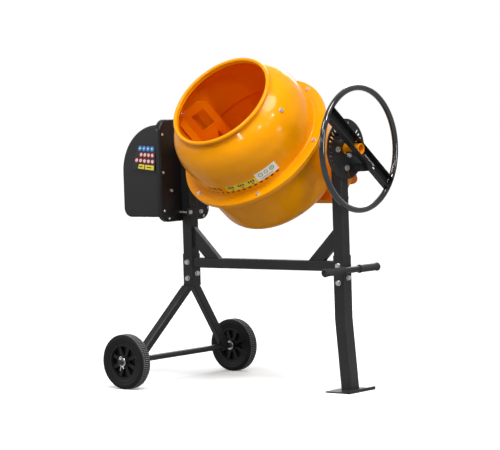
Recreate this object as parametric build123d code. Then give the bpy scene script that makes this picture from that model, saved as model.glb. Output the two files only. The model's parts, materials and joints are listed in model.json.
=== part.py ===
from build123d import *
import os
from math import asin, cos, pi, radians, sin, tan

# Tilting-drum concrete mixer. Millimetres. +X from the motor side to the handwheel side,
# -Y to the side the mouth faces, +Z up. The model is laid out with X = 0 on the drum's axis and
# Y = 0 on the tilt axis, then moved so that its origin is the middle of its box on the floor.

# ---- overall sizes ----
TILT_Z = 851.0            # height of the tilt axis above the floor
DRUM_ELEVATION = 40.0     # degrees that the drum's axis stands above level, mouth to the front
POST_X = 350.0            # each post's centre from the drum's axis
WHEEL_TRACK = 608.0       # between the mid-planes of the two road wheels
AXLE_STEP = 63.5          # from the left post's middle out to the axle

# ---- clearances ----
SLIP = 0.25               # between a bolt or tube and the hole that it passes through
RUN = 0.05                # radial running clearance of a shaft in its bore
SIDE_GAP = 3.0            # between the tilting yoke and the posts
END_PLAY = 0.5            # along an axis, between turning faces
PULLEY_GAP = 0.3          # between the belt and the pulley grooves

# ---- frame tubes ----
POST_W = 43.0             # upper square tube
POST_WALL = 2.0
SLEEVE_WALL = 1.8
SLEEVE_W = POST_W + 2 * (SLEEVE_WALL + SLIP)
# The frame's heights hang from the tilt axis, so that the drum keeps its room above the beam.
LEFT_SLEEVE = (TILT_Z - 491.0, TILT_Z - 378.0)      # bottom and top of the left socket
RIGHT_SLEEVE_TOP = TILT_Z - 373.0
SLEEVE_OVERLAP = 98.0     # how far each post goes down into its sleeve
LEG_BEND_Z = TILT_Z - 595.0       # where the right leg starts to lean out
LEG_LEAN = 4.6            # degrees
BEAM_W = 36.0
BEAM_Z = TILT_Z - 411.0
BEAM_WALL = 2.0
GUSSET_W = 46.0           # width of a brace bar, seen from the front
GUSSET_T = 20.0           # its depth, front to back
GUSSET_POST_Z = TILT_Z - 309.0    # where a brace's middle line meets its post
GUSSET_RUN = 87.0         # how far along the beam it lands
TUBE_CORNER = 4.0         # outside corner radius of the square tubes

# ---- foot ----
FOOT_X = 108.0
FOOT_Y = 150.0
FOOT_T = 5.0
FOOT_LIP = 12.0           # height of the turned-up outer edge

# ---- axle, axle legs and road wheels ----
AXLE_LEG_W = 30.0
AXLE_TUBE_R = 11.0
AXLE_ROD_R = 10.0
AXLE_LEG_END = 56.0       # from a wheel's mid-plane inward to its leg's middle at the axle
WHEEL_R = 100.0
WHEEL_W = 45.0
RIM_R = 66.0              # where the tyre sits on the wheel
TYRE_STEP = 4.0           # how much narrower a tyre is there, each side
TYRE_SHOULDER = 5.0       # from a tyre's side to its flat tread
HUB_BOSS_R = 17.0
HUB_L = 48.0
HUB_BAND_T = 7.0          # rim band of a wheel centre
HUB_WEB_W = 26.0          # its web, from face to face
HUB_WALL = 4.0            # what is left between a pocket and the one behind it
SPOKES = 8
WASHER_T = 2.0
WASHER_R = 17.0
PIN_R = 2.0
PIN_EYE_R = 5.0
PIN_STEP = 7.0            # split pin's place beyond the hub
AXLE_STUB = 13.0          # how far the axle stands out of the hub

# ---- transport handle ----
HANDLE_Z = TILT_Z - 423.0
HANDLE_L = 304.0
HANDLE_R = 11.0
HANDLE_STANDOFF = 16.0    # tube's centre from the leg's face
SADDLE_HALF_Y = 16.0
SADDLE_HALF_Z = 9.0
GRIP_END = 4.0            # rubber beyond the end of the tube
GRIP_R = 15.0
GRIP_L = 112.0

# ---- fasteners ----
FRAME_BOLT = 10.0
FRAME_BOLT_Z = (TILT_Z - 409.0, TILT_Z - 469.0)
CROSS_BOLT_Z = TILT_Z - 451.0
DISC_BOLT = 10.0
CLAMP_BOLT = 8.0
GEAR_BOLT = 8.0
SCREW = 5.0
TRAY_BOLT = 6.0

# ---- trunnions, bearing sleeves and lock disc ----
TRUNNION_R = 19.0
TRUNNION_BORE = 15.0
SLEEVE_TUBE_R = TRUNNION_R + 5.0  # bearing sleeve welded across the top of each post
DISC_R = 106.0
DISC_T = 5.0
DISC_PLATE_T = 6.0
DISC_BOLT_Y = 50.0
DISC_BOLT_DROP = 66.0
SLOT_R = 87.0             # middle of the lock slots
SLOT_L = 22.0
SLOT_W = 8.0
SLOT_PITCH = 10.2         # degrees between working positions
SLOT_FIRST = 131.8
SLOT_COUNT = 10
SLOT_OTHERS = (78.0, 42.0, 32.0, 22.0, 280.0)

# ---- handwheel ----
WHEEL_STEP = 57.5         # from the lock disc's outer face to the rim's plane
HAND_R = 213.0            # centre line of the rim tube
HAND_TUBE_R = 10.5
SPOKE_ANGLE = 142.0       # degrees from +Y towards +Z, the end that carries the tongue
SPOKE_W = 44.0
SPOKE_DEPTH = 25.0
SPOKE_T = 3.0
ROCK_ROOM = 3.0           # extra room round the trunnion, along the spoke, for rocking
PIVOT_STEP = 25.5         # and to the pivot bolt
PIVOT_BOLT = 10.0
EAR_HALF = 11.0           # half the width of the ears that the pivot bolt passes through
TONGUE_T = 6.0
TRUNNION_STEP = 65.5      # and to the end of the trunnion
SPRING_R = 6.0
SPRING_WIRE = 1.6
SPRING_SLOT = (103.0, 125.0)      # slot in the spoke that the spring hooks into
STOP_STEP = 19.5          # and to the inner face of the buffer block behind the spoke
STOP_Y = (20.0, 88.0)     # its ends, towards +Y of the tilt axis
STOP_DROP = (51.0, 80.0)  # its top and bottom below the tilt axis

# ---- drum ----
SHEET = 2.0
MOUTH_S = 281.0           # mouth bead's centre, along the drum's axis from the tilt axis
MOUTH_R = 189.5           # mouth bead's centre radius
BEAD_R = 7.0
NECK_R = 184.0
BELLY_R = 253.0
BELLY_S = 160.0
WAIST_R = 247.0           # mouth half's outside radius at the flange
FLANGE_S = 52.0           # flange's upper face
FLANGE_R = 288.5
LIP_DROP = 15.0
BASIN_R = 258.0           # bottom half's outside radius at the flange
BASIN_LOW_R = 249.0       # and where its wall turns in
BASIN_LOW_S = -148.0
FLOOR_S = -200.0          # outside of the drum's floor

# ---- bevel drive ----
RING_TEETH = 132
PINION_TEETH = 12
RING_IN = 262.0
RING_OUT = 274.0
SHROUD_T = 3.0            # plain band outside the teeth that keeps mortar off them
RING_SEGMENTS = 3
BOLT_CIRCLE_R = 272.0
TOOTH_SHARE = 0.34        # a tooth's share of the pitch, the rest is gap and backlash
ADDENDUM = 0.55           # in modules
DEDENDUM = 1.10
SHAFT_R = 8.0
SHAFT_BEARING_W = 9.0

# ---- drum hub and spindle ----
SPINDLE_R = 10.0
HUB_BEARING_R = 23.5
HUB_BEARING_W = 14.0
HUB_TUBE_R = 31.0
HUB_FLANGE_R = 72.0
HUB_FLANGE_T = 5.0
HUB_DROP = 26.0           # hub's lower end below the drum's floor
HUB_RISE = 42.0           # and its upper end above it

# ---- yoke ----
YOKE_T = 4.0
YOKE_W = 90.0
YOKE_LIP = 22.0           # depth of the channel's side lips
ARM_LIP = 7.0             # lips are cut down to this beside the posts
YOKE_BASE_HALF = 252.0
YOKE_SHOULDER_S = -40.0
YOKE_CORNER_R = 34.0
YOKE_FLOOR_GAP = 9.0      # between the drum hub and the yoke's base
ARM_END_R = 30.0

# ---- blades ----
BLADE_T = 3.0
BLADE_W = 108.0
BLADE_TOP_S = 212.0
BLADE_END_S = -110.0
BLADE_GAP = 1.0           # a blade's clearance inside the sheet
BLADE_LEAN = 49.0         # degrees that a blade leans off the radius
WINDOW_L = 82.0
TAB = 30.0                # square tab that a blade's bolt goes through
TAB_GAP = 2.0             # its flat face inside the curved shoulder
WINDOW_W = 54.0
BLADE_BOLT_SHARE = 0.262  # how far down the mouth half's outline the blade bolts sit

# ---- motor housing ----
TRAY_Y = (-129.0, 139.0)
TRAY_Z = (TILT_Z - 256.0, TILT_Z + 121.0)
TRAY_DEPTH = 20.0
TRAY_R = 42.0
SHELL = 3.0
COVER_DEPTH = 178.0
COVER_INSET = 7.0
COVER_Z = (TILT_Z - 237.0, TILT_Z + 102.0)
COVER_TOP_R = 172.0
COVER_LOW_R = 34.0
CLAMP_Z = TILT_Z - 223.0
CLAMP_BOLT_Y = 30.0
CLAMP_T = 5.0
SCREW_EDGE = 13.0         # screws in from the tray's edge
FOOT_SCREW = 25.0         # a foot screw in from the side screws

# ---- motor and belt ----
MOTOR_DROP = 161.0        # motor shaft below the tilt axis
MOTOR_R = 56.0
MOTOR_L = 96.0
BELL_T = 12.0             # thickness of an end bell
FINS = 18
ROTOR_R = 34.0
ROTOR_GAP = 0.6
ROTOR_SHAFT_R = 6.0
CAPACITOR_R = 16.0
CAPACITOR_L = 62.0
BIG_PULLEY_R = 80.0
SMALL_PULLEY_R = 11.0
BELT_T = 3.0
BELT_W = 14.0
PULLEY_OFFSET = 30.0      # belt's middle from the tray's back wall
BRACKET_HALF_Y = 75.0     # bracket legs, from the motor's axis
BRACKET_RISE = 20.0       # upper legs above that axis, and lower legs below it
BRACKET_DROP = 44.0
BRACKET_LEG_R = 7.0
BRACKET_T = 4.0

# ---- switch ----
SWITCH_Y = 66.0
SWITCH_Z = 84.0
SWITCH_DEPTH = 16.0
SWITCH_AT_Z = TILT_Z - 91.0
BUTTON = 22.0
BUTTON_TRAVEL = 3.0
BUTTON_PROUD = 5.0
BUTTON_SPACING = 34.0
INLET_R = 24.0
INLET_DEPTH = 22.0
INLET_Z = TILT_Z - 175.0
CONTACT_R = 2.2

# ---- worked-out places ----
POST_IN = POST_X - POST_W / 2
POST_OUT = POST_X + POST_W / 2
SLEEVE_HALF = SLEEVE_W / 2
ARM_OUT = POST_IN - SIDE_GAP
ARM_WEB_IN = ARM_OUT - ARM_LIP - YOKE_T
HUB_LOW_S = FLOOR_S - HUB_DROP
YOKE_BASE_S = HUB_LOW_S - YOKE_FLOOR_GAP
AXLE_X = -POST_X - AXLE_STEP
AXLE_Z = WHEEL_R
WHEEL_Y = WHEEL_TRACK / 2
TRAY_BACK_X = -POST_OUT
TRAY_EDGE_X = TRAY_BACK_X - TRAY_DEPTH
COVER_END_X = TRAY_EDGE_X - COVER_DEPTH
PULLEY_X = TRAY_BACK_X - SHELL - PULLEY_OFFSET
MOTOR_Z = TILT_Z - MOTOR_DROP
DISC_IN_X = POST_OUT + DISC_PLATE_T
DISC_OUT_X = DISC_IN_X + DISC_T
WHEEL_PLANE_X = DISC_OUT_X + WHEEL_STEP
PIVOT_X = DISC_OUT_X + PIVOT_STEP
TRUNNION_END_X = DISC_OUT_X + TRUNNION_STEP
STOP_X = DISC_OUT_X + STOP_STEP
LEG_SHIFT = (LEG_BEND_Z - FOOT_T) * tan(radians(LEG_LEAN))
HANDLE_X = POST_X + SLEEVE_HALF + HANDLE_STANDOFF
RING_TOP_S = FLANGE_S - 2 * SHEET
RATIO = RING_TEETH / PINION_TEETH

DRUM_AXIS = Vector(0, -cos(radians(DRUM_ELEVATION)), sin(radians(DRUM_ELEVATION)))
# The drum's own frame: Z along its axis towards the mouth, X along the tilt axis.
DRUM_FRAME = Plane(origin=(0, 0, TILT_Z), x_dir=(1, 0, 0), z_dir=DRUM_AXIS).location
TILT_FRAME = Location((0, 0, TILT_Z))


# ---- shapes used by many pieces ----
def bar(start, end, radius, bore=0.0):
    """Round bar or tube between two points."""
    along = Vector(*end) - Vector(*start)
    plane = Plane(origin=start, z_dir=along)
    section = plane * Circle(radius)
    if bore:
        section -= plane * Circle(bore)
    return extrude(section, amount=along.length)


def square_tube(start, end, width, wall, side=(0, 1, 0)):
    """Hollow square tube between two points; side is the way one pair of faces looks."""
    along = Vector(*end) - Vector(*start)
    plane = Plane(origin=start, x_dir=side, z_dir=along)
    section = plane * RectangleRounded(width, width, TUBE_CORNER)
    inner = width - 2 * wall
    section -= plane * RectangleRounded(inner, inner, max(TUBE_CORNER - wall, 0.5))
    return extrude(section, amount=along.length)


def block(low, high):
    """Box between its lowest and highest corners."""
    size = [b - a for a, b in zip(low, high)]
    middle = [(a + b) / 2 for a, b in zip(low, high)]
    return Pos(*middle) * Box(*size)


def hex_bolt(seat, out, size, grip):
    """Bolt whose washer sits at seat; its head points along out and its shank the other way."""
    plane = Plane(origin=seat, z_dir=out)
    washer = extrude(plane * Circle(size), amount=size * 0.16)
    head = extrude(plane.offset(size * 0.16) * RegularPolygon(size * 0.92, 6), amount=size * 0.62)
    shank = extrude(plane * Circle(size / 2), amount=-grip)
    return washer + head + shank


def hex_nut(seat, out, size):
    """Nut that sits at seat, round the end of a bolt."""
    plane = Plane(origin=seat, z_dir=out)
    ring = plane * RegularPolygon(size * 0.92, 6) - plane * Circle(size / 2 + SLIP / 2)
    return extrude(ring, amount=size * 0.8)


def bolt_hole(seat, out, size, depth):
    """Cylinder to cut where a bolt of this size passes."""
    plane = Plane(origin=seat, z_dir=out)
    return extrude(plane * Circle(size / 2 + SLIP), amount=-depth)


def turned(points):
    """Ring turned about Z from an outline of (radius, height) points."""
    outline = Plane.XZ * make_face(Polyline(*points, close=True))
    return revolve(outline, Axis.Z)


def group(*solids):
    """Several separate solids kept as one node."""
    return Compound(children=[s for piece in solids for s in piece.solids()])


# ---- frame ----
def post_bolts(x):
    """Seats of the three bolts that hold one post in its sleeve."""
    front = [((x, -SLEEVE_HALF, z), (0, -1, 0)) for z in FRAME_BOLT_Z]
    return front + [((x + SLEEVE_HALF, 0, CROSS_BOLT_Z), (1, 0, 0))]


def drilled(piece, x):
    """The piece with its post-bolt holes cut."""
    for seat, out in post_bolts(x):
        piece -= bolt_hole(seat, out, FRAME_BOLT, SLEEVE_W + 1)
    return piece


def post(side):
    """Upper square tube, coped to carry its bearing sleeve."""
    x = side * POST_X
    top_of_sleeve = RIGHT_SLEEVE_TOP if side > 0 else LEFT_SLEEVE[1]
    low = top_of_sleeve - SLEEVE_OVERLAP
    tube = square_tube((x, 0, low), (x, 0, TILT_Z), POST_W, POST_WALL)
    tube -= bar((x - POST_W, 0, TILT_Z), (x + POST_W, 0, TILT_Z), SLEEVE_TUBE_R)
    if side > 0:
        tube -= bolt_hole((POST_OUT, 0, TILT_Z - DISC_BOLT_DROP), (1, 0, 0), DISC_BOLT, POST_WALL * 2)
    return drilled(tube, x)


def left_socket():
    """Short lower sleeve with a welded bottom cap that the axle legs hang from."""
    low, high = LEFT_SLEEVE
    tube = square_tube((-POST_X, 0, low), (-POST_X, 0, high), SLEEVE_W, SLEEVE_WALL)
    cap = block((-POST_X - SLEEVE_HALF, -SLEEVE_HALF, low - 4), (-POST_X + SLEEVE_HALF, SLEEVE_HALF, low))
    return drilled(tube + cap, -POST_X)


def right_leg():
    """Lower sleeve that runs to the floor and leans out below its bend."""
    spare = 30.0
    way = Vector(tan(radians(LEG_LEAN)), 0, -1)
    bend = Vector(POST_X, 0, LEG_BEND_Z)
    foot = Vector(POST_X + LEG_SHIFT, 0, FOOT_T)
    upper = square_tube(tuple(bend - Vector(0, 0, spare)), (POST_X, 0, RIGHT_SLEEVE_TOP), SLEEVE_W, SLEEVE_WALL)
    lower = square_tube(tuple(bend - way * spare), tuple(foot + way * spare), SLEEVE_W, SLEEVE_WALL)
    # The two runs meet on the plane that halves the bend, and the lower one ends on the foot plate.
    half_lean = radians(LEG_LEAN / 2)
    mitre = Plane(origin=tuple(bend), z_dir=(sin(half_lean), 0, cos(half_lean)))
    upper = split(upper, bisect_by=mitre, keep=Keep.TOP)
    lower = split(lower, bisect_by=mitre, keep=Keep.BOTTOM)
    lower = split(lower, bisect_by=Plane(origin=(0, 0, FOOT_T), z_dir=(0, 0, 1)), keep=Keep.TOP)
    return drilled(upper + lower, POST_X)


def foot_plate():
    """Flat sole welded under the leg, with its outer edge turned up."""
    x0 = POST_X + LEG_SHIFT - FOOT_X / 2
    x1 = x0 + FOOT_X
    sole = block((x0, -FOOT_Y / 2, 0), (x1, FOOT_Y / 2, FOOT_T))
    lip = block((x1 - FOOT_T, -FOOT_Y / 2, 0), (x1, FOOT_Y / 2, FOOT_LIP))
    plate = sole + lip
    outer_heel = plate.edges().filter_by(Axis.Y).group_by(Axis.Z)[0].sort_by(Axis.X)[-1:]
    return fillet(outer_heel, FOOT_T * 0.8)


def cross_beam():
    """Square tube between the two sleeves."""
    half = POST_X - SLEEVE_HALF
    return square_tube((-half, 0, BEAM_Z), (half, 0, BEAM_Z), BEAM_W, BEAM_WALL)


def gusset(side):
    """Flat brace bar between a post and the beam, notched round the top of the sleeve."""
    inner = side * POST_IN
    top = BEAM_Z + BEAM_W / 2
    line_a = Vector(inner, 0, GUSSET_POST_Z)
    line_b = Vector(inner - side * GUSSET_RUN, 0, top)
    way = (line_b - line_a).normalized()
    start = line_a - way * GUSSET_W
    end = line_b + way * GUSSET_W
    plane = Plane(origin=start, x_dir=(0, 1, 0), z_dir=way)
    brace = extrude(plane * Rectangle(GUSSET_T, GUSSET_W), amount=(end - start).length)
    far_x, near_x = sorted((inner, -inner))
    brace &= block((far_x, -GUSSET_T, top), (near_x, GUSSET_T, TILT_Z))
    sleeve_top = RIGHT_SLEEVE_TOP if side > 0 else LEFT_SLEEVE[1]
    x0, x1 = sorted((side * (POST_X - SLEEVE_HALF), side * POST_X))
    return brace - block((x0, -SLEEVE_W, 0), (x1, SLEEVE_W, sleeve_top))


def axle_leg(side):
    """Square tube from the left socket's cap down to the axle."""
    top = Vector(-POST_X - 6, side * 19, LEFT_SLEEVE[0] - 8)
    low = Vector(AXLE_X, side * (WHEEL_Y - AXLE_LEG_END), AXLE_Z)
    way = (low - top).normalized()
    tube = square_tube(tuple(top - way * 40), tuple(low + way * 30), AXLE_LEG_W, POST_WALL, side=(1, 0, -0.2))
    half = POST_X + 80
    y0, y1 = sorted((side * 0.3, side * WHEEL_Y))
    room = block((AXLE_X - 60, y0, AXLE_Z), (-POST_X + half, y1, LEFT_SLEEVE[0] - 4))
    axle_cut = bar((AXLE_X, -WHEEL_Y, AXLE_Z), (AXLE_X, WHEEL_Y, AXLE_Z), AXLE_TUBE_R)
    return (tube & room) - axle_cut


def axle():
    """Turned bar: thick between the legs, thinner where the wheels run."""
    shoulder = WHEEL_Y - HUB_L / 2 - WASHER_T - END_PLAY
    end = WHEEL_Y + HUB_L / 2 + AXLE_STUB
    thick = bar((AXLE_X, -shoulder, AXLE_Z), (AXLE_X, shoulder, AXLE_Z), AXLE_TUBE_R)
    thin = bar((AXLE_X, -end, AXLE_Z), (AXLE_X, end, AXLE_Z), AXLE_ROD_R)
    shaft = thick + thin
    for side in (-1, 1):
        y = side * (WHEEL_Y + HUB_L / 2 + PIN_STEP)
        shaft -= bar((AXLE_X, y, AXLE_Z - 20), (AXLE_X, y, AXLE_Z + 20), PIN_R + SLIP)
    return shaft


def tyre(side):
    """Solid rubber tyre with rounded shoulders."""
    half = WHEEL_W / 2
    seat = half - TYRE_STEP
    tread = half - TYRE_SHOULDER
    ring = turned([(RIM_R, -seat), (WHEEL_R - 3, -half), (WHEEL_R, -tread), (WHEEL_R, tread),
                   (WHEEL_R - 3, half), (RIM_R, seat)])
    return Pos(AXLE_X, side * WHEEL_Y, AXLE_Z) * Rot(90, 0, 0) * ring


def hub_pocket():
    """Wedge-shaped recess between two spokes, cut from one face of a wheel centre."""
    spread = radians(180 / SPOKES) - 0.12
    inner, outer = HUB_BOSS_R + HUB_BAND_T, RIM_R - HUB_BAND_T - 5
    foot = inner * tan(spread * 0.6)
    head = outer * tan(spread)
    outline = make_face(Polyline((inner, -foot), (outer, -head), (outer + 2, 0), (outer, head), (inner, foot),
                                 close=True))
    return Pos(0, 0, HUB_WALL / 2) * extrude(outline, amount=HUB_WEB_W)


def road_hub(side):
    """Moulded wheel centre: rim band, web with pockets between its spokes on both faces, and boss."""
    width = WHEEL_W - 2 * TYRE_STEP
    wheel = Cylinder(RIM_R, width) - Cylinder(RIM_R - HUB_BAND_T, width)
    wheel += Cylinder(RIM_R - HUB_BAND_T + 1, HUB_WEB_W)
    wheel += Cylinder(HUB_BOSS_R, HUB_L)
    pocket = hub_pocket()
    for i in range(SPOKES):
        for flip in (0, 180):
            wheel -= Rot(0, 0, i * 360 / SPOKES) * Rot(flip, 0, 0) * pocket
    wheel -= Cylinder(AXLE_ROD_R + RUN, HUB_L + 2)
    return Pos(AXLE_X, side * WHEEL_Y, AXLE_Z) * Rot(90, 0, 0) * wheel


def wheel_retainers():
    """A washer each side of each wheel and a split pin through each end of the axle."""
    pieces = []
    for side in (-1, 1):
        for y in (WHEEL_Y - HUB_L / 2 - WASHER_T - END_PLAY / 2, WHEEL_Y + HUB_L / 2 + END_PLAY / 2):
            near, far = side * y, side * (y + WASHER_T)
            pieces.append(bar((AXLE_X, near, AXLE_Z), (AXLE_X, far, AXLE_Z), WASHER_R, AXLE_ROD_R + SLIP))
        y = side * (WHEEL_Y + HUB_L / 2 + PIN_STEP)
        shank = bar((AXLE_X, y, AXLE_Z - WASHER_R), (AXLE_X, y, AXLE_Z + WASHER_R - 4), PIN_R)
        eye = Pos(AXLE_X, y, AXLE_Z + WASHER_R) * Rot(90, 0, 0) * Torus(PIN_EYE_R, PIN_R)
        pieces.append(shank + eye)
    return group(*pieces)


def frame_bolts():
    """Three bolts and nuts at each post's sleeve."""
    pieces = []
    for x in (-POST_X, POST_X):
        for seat, out in post_bolts(x):
            far = Vector(*seat) - Vector(*out) * SLEEVE_W
            pieces.append(hex_bolt(seat, out, FRAME_BOLT, SLEEVE_W + FRAME_BOLT))
            pieces.append(hex_nut(tuple(far), tuple(Vector(*out) * -1), FRAME_BOLT))
    return group(*pieces)


def transport_handle():
    """Tube across the leg's outer face, welded on through a coped saddle."""
    tube = bar((HANDLE_X, -HANDLE_L / 2, HANDLE_Z), (HANDLE_X, HANDLE_L / 2, HANDLE_Z), HANDLE_R)
    face = POST_X + SLEEVE_HALF
    low = (face, -SADDLE_HALF_Y, HANDLE_Z - SADDLE_HALF_Z)
    high = (HANDLE_X, SADDLE_HALF_Y, HANDLE_Z + SADDLE_HALF_Z)
    saddle = block(low, high)
    return tube + saddle


def handle_grips():
    """Two rubber sleeves pushed over the ends of the handle, closed at their outer ends."""
    pieces = []
    for side in (-1, 1):
        outer = side * (HANDLE_L / 2 + GRIP_END)
        inner = outer - side * GRIP_L
        sleeve = bar((HANDLE_X, inner, HANDLE_Z), (HANDLE_X, outer, HANDLE_Z), GRIP_R)
        sleeve -= bar((HANDLE_X, inner, HANDLE_Z), (HANDLE_X, side * HANDLE_L / 2, HANDLE_Z), HANDLE_R)
        pieces.append(sleeve)
    return group(*pieces)


# ---- bearing sleeves and lock disc ----
def left_bearing_sleeve():
    """Cross tube welded in the cope of the left post."""
    ends = (-POST_OUT, -POST_IN + 1)
    return bar((ends[0], 0, TILT_Z), (ends[1], 0, TILT_Z), SLEEVE_TUBE_R, TRUNNION_R + RUN)


def disc_bolt_places():
    return [(-DISC_BOLT_Y, 0), (DISC_BOLT_Y, 0), (0, -DISC_BOLT_DROP)]


def right_bearing_sleeve():
    """Cross tube in the right post, with the triangular plate that the lock disc is bolted to."""
    tube = bar((POST_IN - 1, 0, TILT_Z), (POST_OUT, 0, TILT_Z), SLEEVE_TUBE_R, TRUNNION_R + RUN)
    plane = Plane(origin=(POST_OUT, 0, TILT_Z), x_dir=(0, 1, 0), z_dir=(1, 0, 0))
    outline = make_face(Polyline((-DISC_BOLT_Y, 0), (DISC_BOLT_Y, 0), (0, -DISC_BOLT_DROP), close=True))
    plate = extrude(plane * offset(outline, amount=16), amount=DISC_PLATE_T)
    plate -= bar((POST_OUT, 0, TILT_Z), (DISC_OUT_X, 0, TILT_Z), TRUNNION_R + RUN)
    for y, z in disc_bolt_places():
        plate -= bolt_hole((DISC_OUT_X, y, TILT_Z + z), (1, 0, 0), DISC_BOLT, DISC_T + DISC_PLATE_T + 1)
    return tube + plate


def lock_disc():
    """Round plate with a radial slot at each position that the drum can be locked in."""
    disc = bar((DISC_IN_X, 0, TILT_Z), (DISC_OUT_X, 0, TILT_Z), DISC_R, TRUNNION_R + 1.5)
    plane = Plane(origin=(DISC_IN_X - 1, 0, TILT_Z), x_dir=(0, 1, 0), z_dir=(1, 0, 0))
    angles = [SLOT_FIRST + i * SLOT_PITCH for i in range(SLOT_COUNT)] + list(SLOT_OTHERS)
    for angle in angles:
        slot = plane * (Rot(0, 0, angle) * Pos(SLOT_R, 0) * Rectangle(SLOT_L, SLOT_W))
        disc -= extrude(slot, amount=DISC_T + 2)
    for y, z in disc_bolt_places():
        disc -= bolt_hole((DISC_OUT_X, y, TILT_Z + z), (1, 0, 0), DISC_BOLT, DISC_T + 1)
    return disc


def disc_bolts():
    """Three bolts through the disc and its plate, each with a nut behind."""
    pieces = []
    for y, z in disc_bolt_places():
        behind = POST_OUT if z == 0 else POST_OUT - POST_WALL
        grip = DISC_OUT_X - behind + DISC_BOLT * 0.9
        pieces.append(hex_bolt((DISC_OUT_X, y, TILT_Z + z), (1, 0, 0), DISC_BOLT, grip))
        pieces.append(hex_nut((behind, y, TILT_Z + z), (-1, 0, 0), DISC_BOLT))
    return group(*pieces)


# ---- handwheel: built about the tilt axis with the spoke along Y, then turned to its angle ----
SPOKE_FRAME = Location((0, 0, TILT_Z), (SPOKE_ANGLE, 0, 0))


def handwheel_rim():
    """Bent tube ring."""
    ring = Pos(WHEEL_PLANE_X, 0, 0) * Rot(0, 90, 0) * Torus(HAND_R, HAND_TUBE_R)
    return SPOKE_FRAME * (ring - spoke_blank())


def spoke_blank():
    """Solid that the channel spoke is folded from, out to the rim's middle line."""
    low_x = WHEEL_PLANE_X - SPOKE_DEPTH / 2
    return block((low_x, -HAND_R, -SPOKE_W / 2), (low_x + SPOKE_DEPTH, HAND_R, SPOKE_W / 2))


def handwheel_spoke():
    """Channel across the rim, open outwards, with room for the trunnion and two pivot ears behind."""
    low_x = WHEEL_PLANE_X - SPOKE_DEPTH / 2
    spoke = spoke_blank()
    inner = SPOKE_W / 2 - SPOKE_T
    spoke -= block((low_x + SPOKE_T, -HAND_R, -inner), (low_x + SPOKE_DEPTH + 1, HAND_R, inner))
    ring = Pos(WHEEL_PLANE_X, 0, 0) * Rot(0, 90, 0) * Torus(HAND_R, HAND_TUBE_R)
    ends = Pos(WHEEL_PLANE_X, 0, 0) * Rot(0, 90, 0) * (Cylinder(HAND_R * 2, 80) - Cylinder(HAND_R, 80))
    spoke -= ends
    spoke -= ring
    reach = TRUNNION_R + ROCK_ROOM
    spoke -= block((low_x - 1, -reach, -TRUNNION_R - 1), (low_x + SPOKE_T + 1, reach, TRUNNION_R + 1))
    for side in (-1, 1):
        z0, z1 = sorted((side * (TRUNNION_R + 1), side * (TRUNNION_R + 1 + SPOKE_T)))
        ear = block((PIVOT_X - 9, -EAR_HALF, z0), (low_x, EAR_HALF, z1))
        ear -= bar((PIVOT_X, 0, -SPOKE_W), (PIVOT_X, 0, SPOKE_W), PIVOT_BOLT / 2 + RUN)
        spoke += ear
    spoke -= block((low_x - 1, -SPRING_SLOT[1], -5), (low_x + SPOKE_T + 1, -SPRING_SLOT[0], 5))
    stop = block((STOP_X, STOP_Y[0], TILT_Z - STOP_DROP[1]), (low_x, STOP_Y[1], TILT_Z - STOP_DROP[0]))
    return SPOKE_FRAME * spoke + stop


def lock_tongue():
    """Ribbed plate behind the spoke; its rib's end stands just clear of the slot that it locks into."""
    low_x = WHEEL_PLANE_X - SPOKE_DEPTH / 2
    foot = block((low_x - TONGUE_T, SLOT_R - 9, -16), (low_x, SLOT_R + 30, 16))
    arm = block((DISC_OUT_X + 1, SLOT_R - 9, -16), (low_x, SLOT_R - 3, 16))
    rib = block((DISC_OUT_X + 1, SLOT_R - 9, -TONGUE_T / 2), (low_x, SLOT_R + 9, TONGUE_T / 2))
    return SPOKE_FRAME * (foot + arm + rib)


def lock_spring():
    """Pull spring lying in the channel; its outer shape only."""
    low_x = WHEEL_PLANE_X - SPOKE_DEPTH / 2
    x = low_x + SPOKE_T + SPRING_R + 1
    ends = (x, -TRUNNION_R - 16, 0), (x, -SPRING_SLOT[0] - 1, 0)
    return SPOKE_FRAME * bar(*ends, SPRING_R, SPRING_R - SPRING_WIRE)


def pivot_bolt():
    """Bolt across the trunnion that the handwheel rocks on, with a nut."""
    half = TRUNNION_R + 1 + SPOKE_T + END_PLAY
    bolt = hex_bolt((PIVOT_X, 0, -half), (0, 0, -1), PIVOT_BOLT, 2 * half + PIVOT_BOLT)
    nut = hex_nut((PIVOT_X, 0, half), (0, 0, 1), PIVOT_BOLT)
    return group(SPOKE_FRAME * bolt, SPOKE_FRAME * nut)


# ---- yoke: built in the drum's frame ----
def yoke_side_region():
    """Outline of the space inside the yoke, seen along the yoke's width."""
    base = YOKE_BASE_S
    half = YOKE_BASE_HALF
    top = ARM_END_R
    points = [(-ARM_WEB_IN, top), (-ARM_WEB_IN, YOKE_SHOULDER_S), (-half, base), (half, base),
              (ARM_WEB_IN, YOKE_SHOULDER_S), (ARM_WEB_IN, top)]
    face = make_face(Polyline(*points, close=True))
    corners = face.vertices().filter_by(lambda v: v.Y < top - 1)
    return fillet(corners, YOKE_CORNER_R)


def yoke_front_region(inset):
    """Outline of the yoke seen along the tilt axis: wide below, narrowing to a round end."""
    half = YOKE_W / 2 - inset
    end_r = ARM_END_R - inset
    low = YOKE_BASE_S - YOKE_LIP - YOKE_T - 5
    body = make_face(Polyline((-half, low), (half, low), (half, YOKE_BASE_S + 60), (end_r, 0),
                              (-end_r, 0), (-half, YOKE_BASE_S + 60), close=True))
    return body + Circle(end_r)


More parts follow.
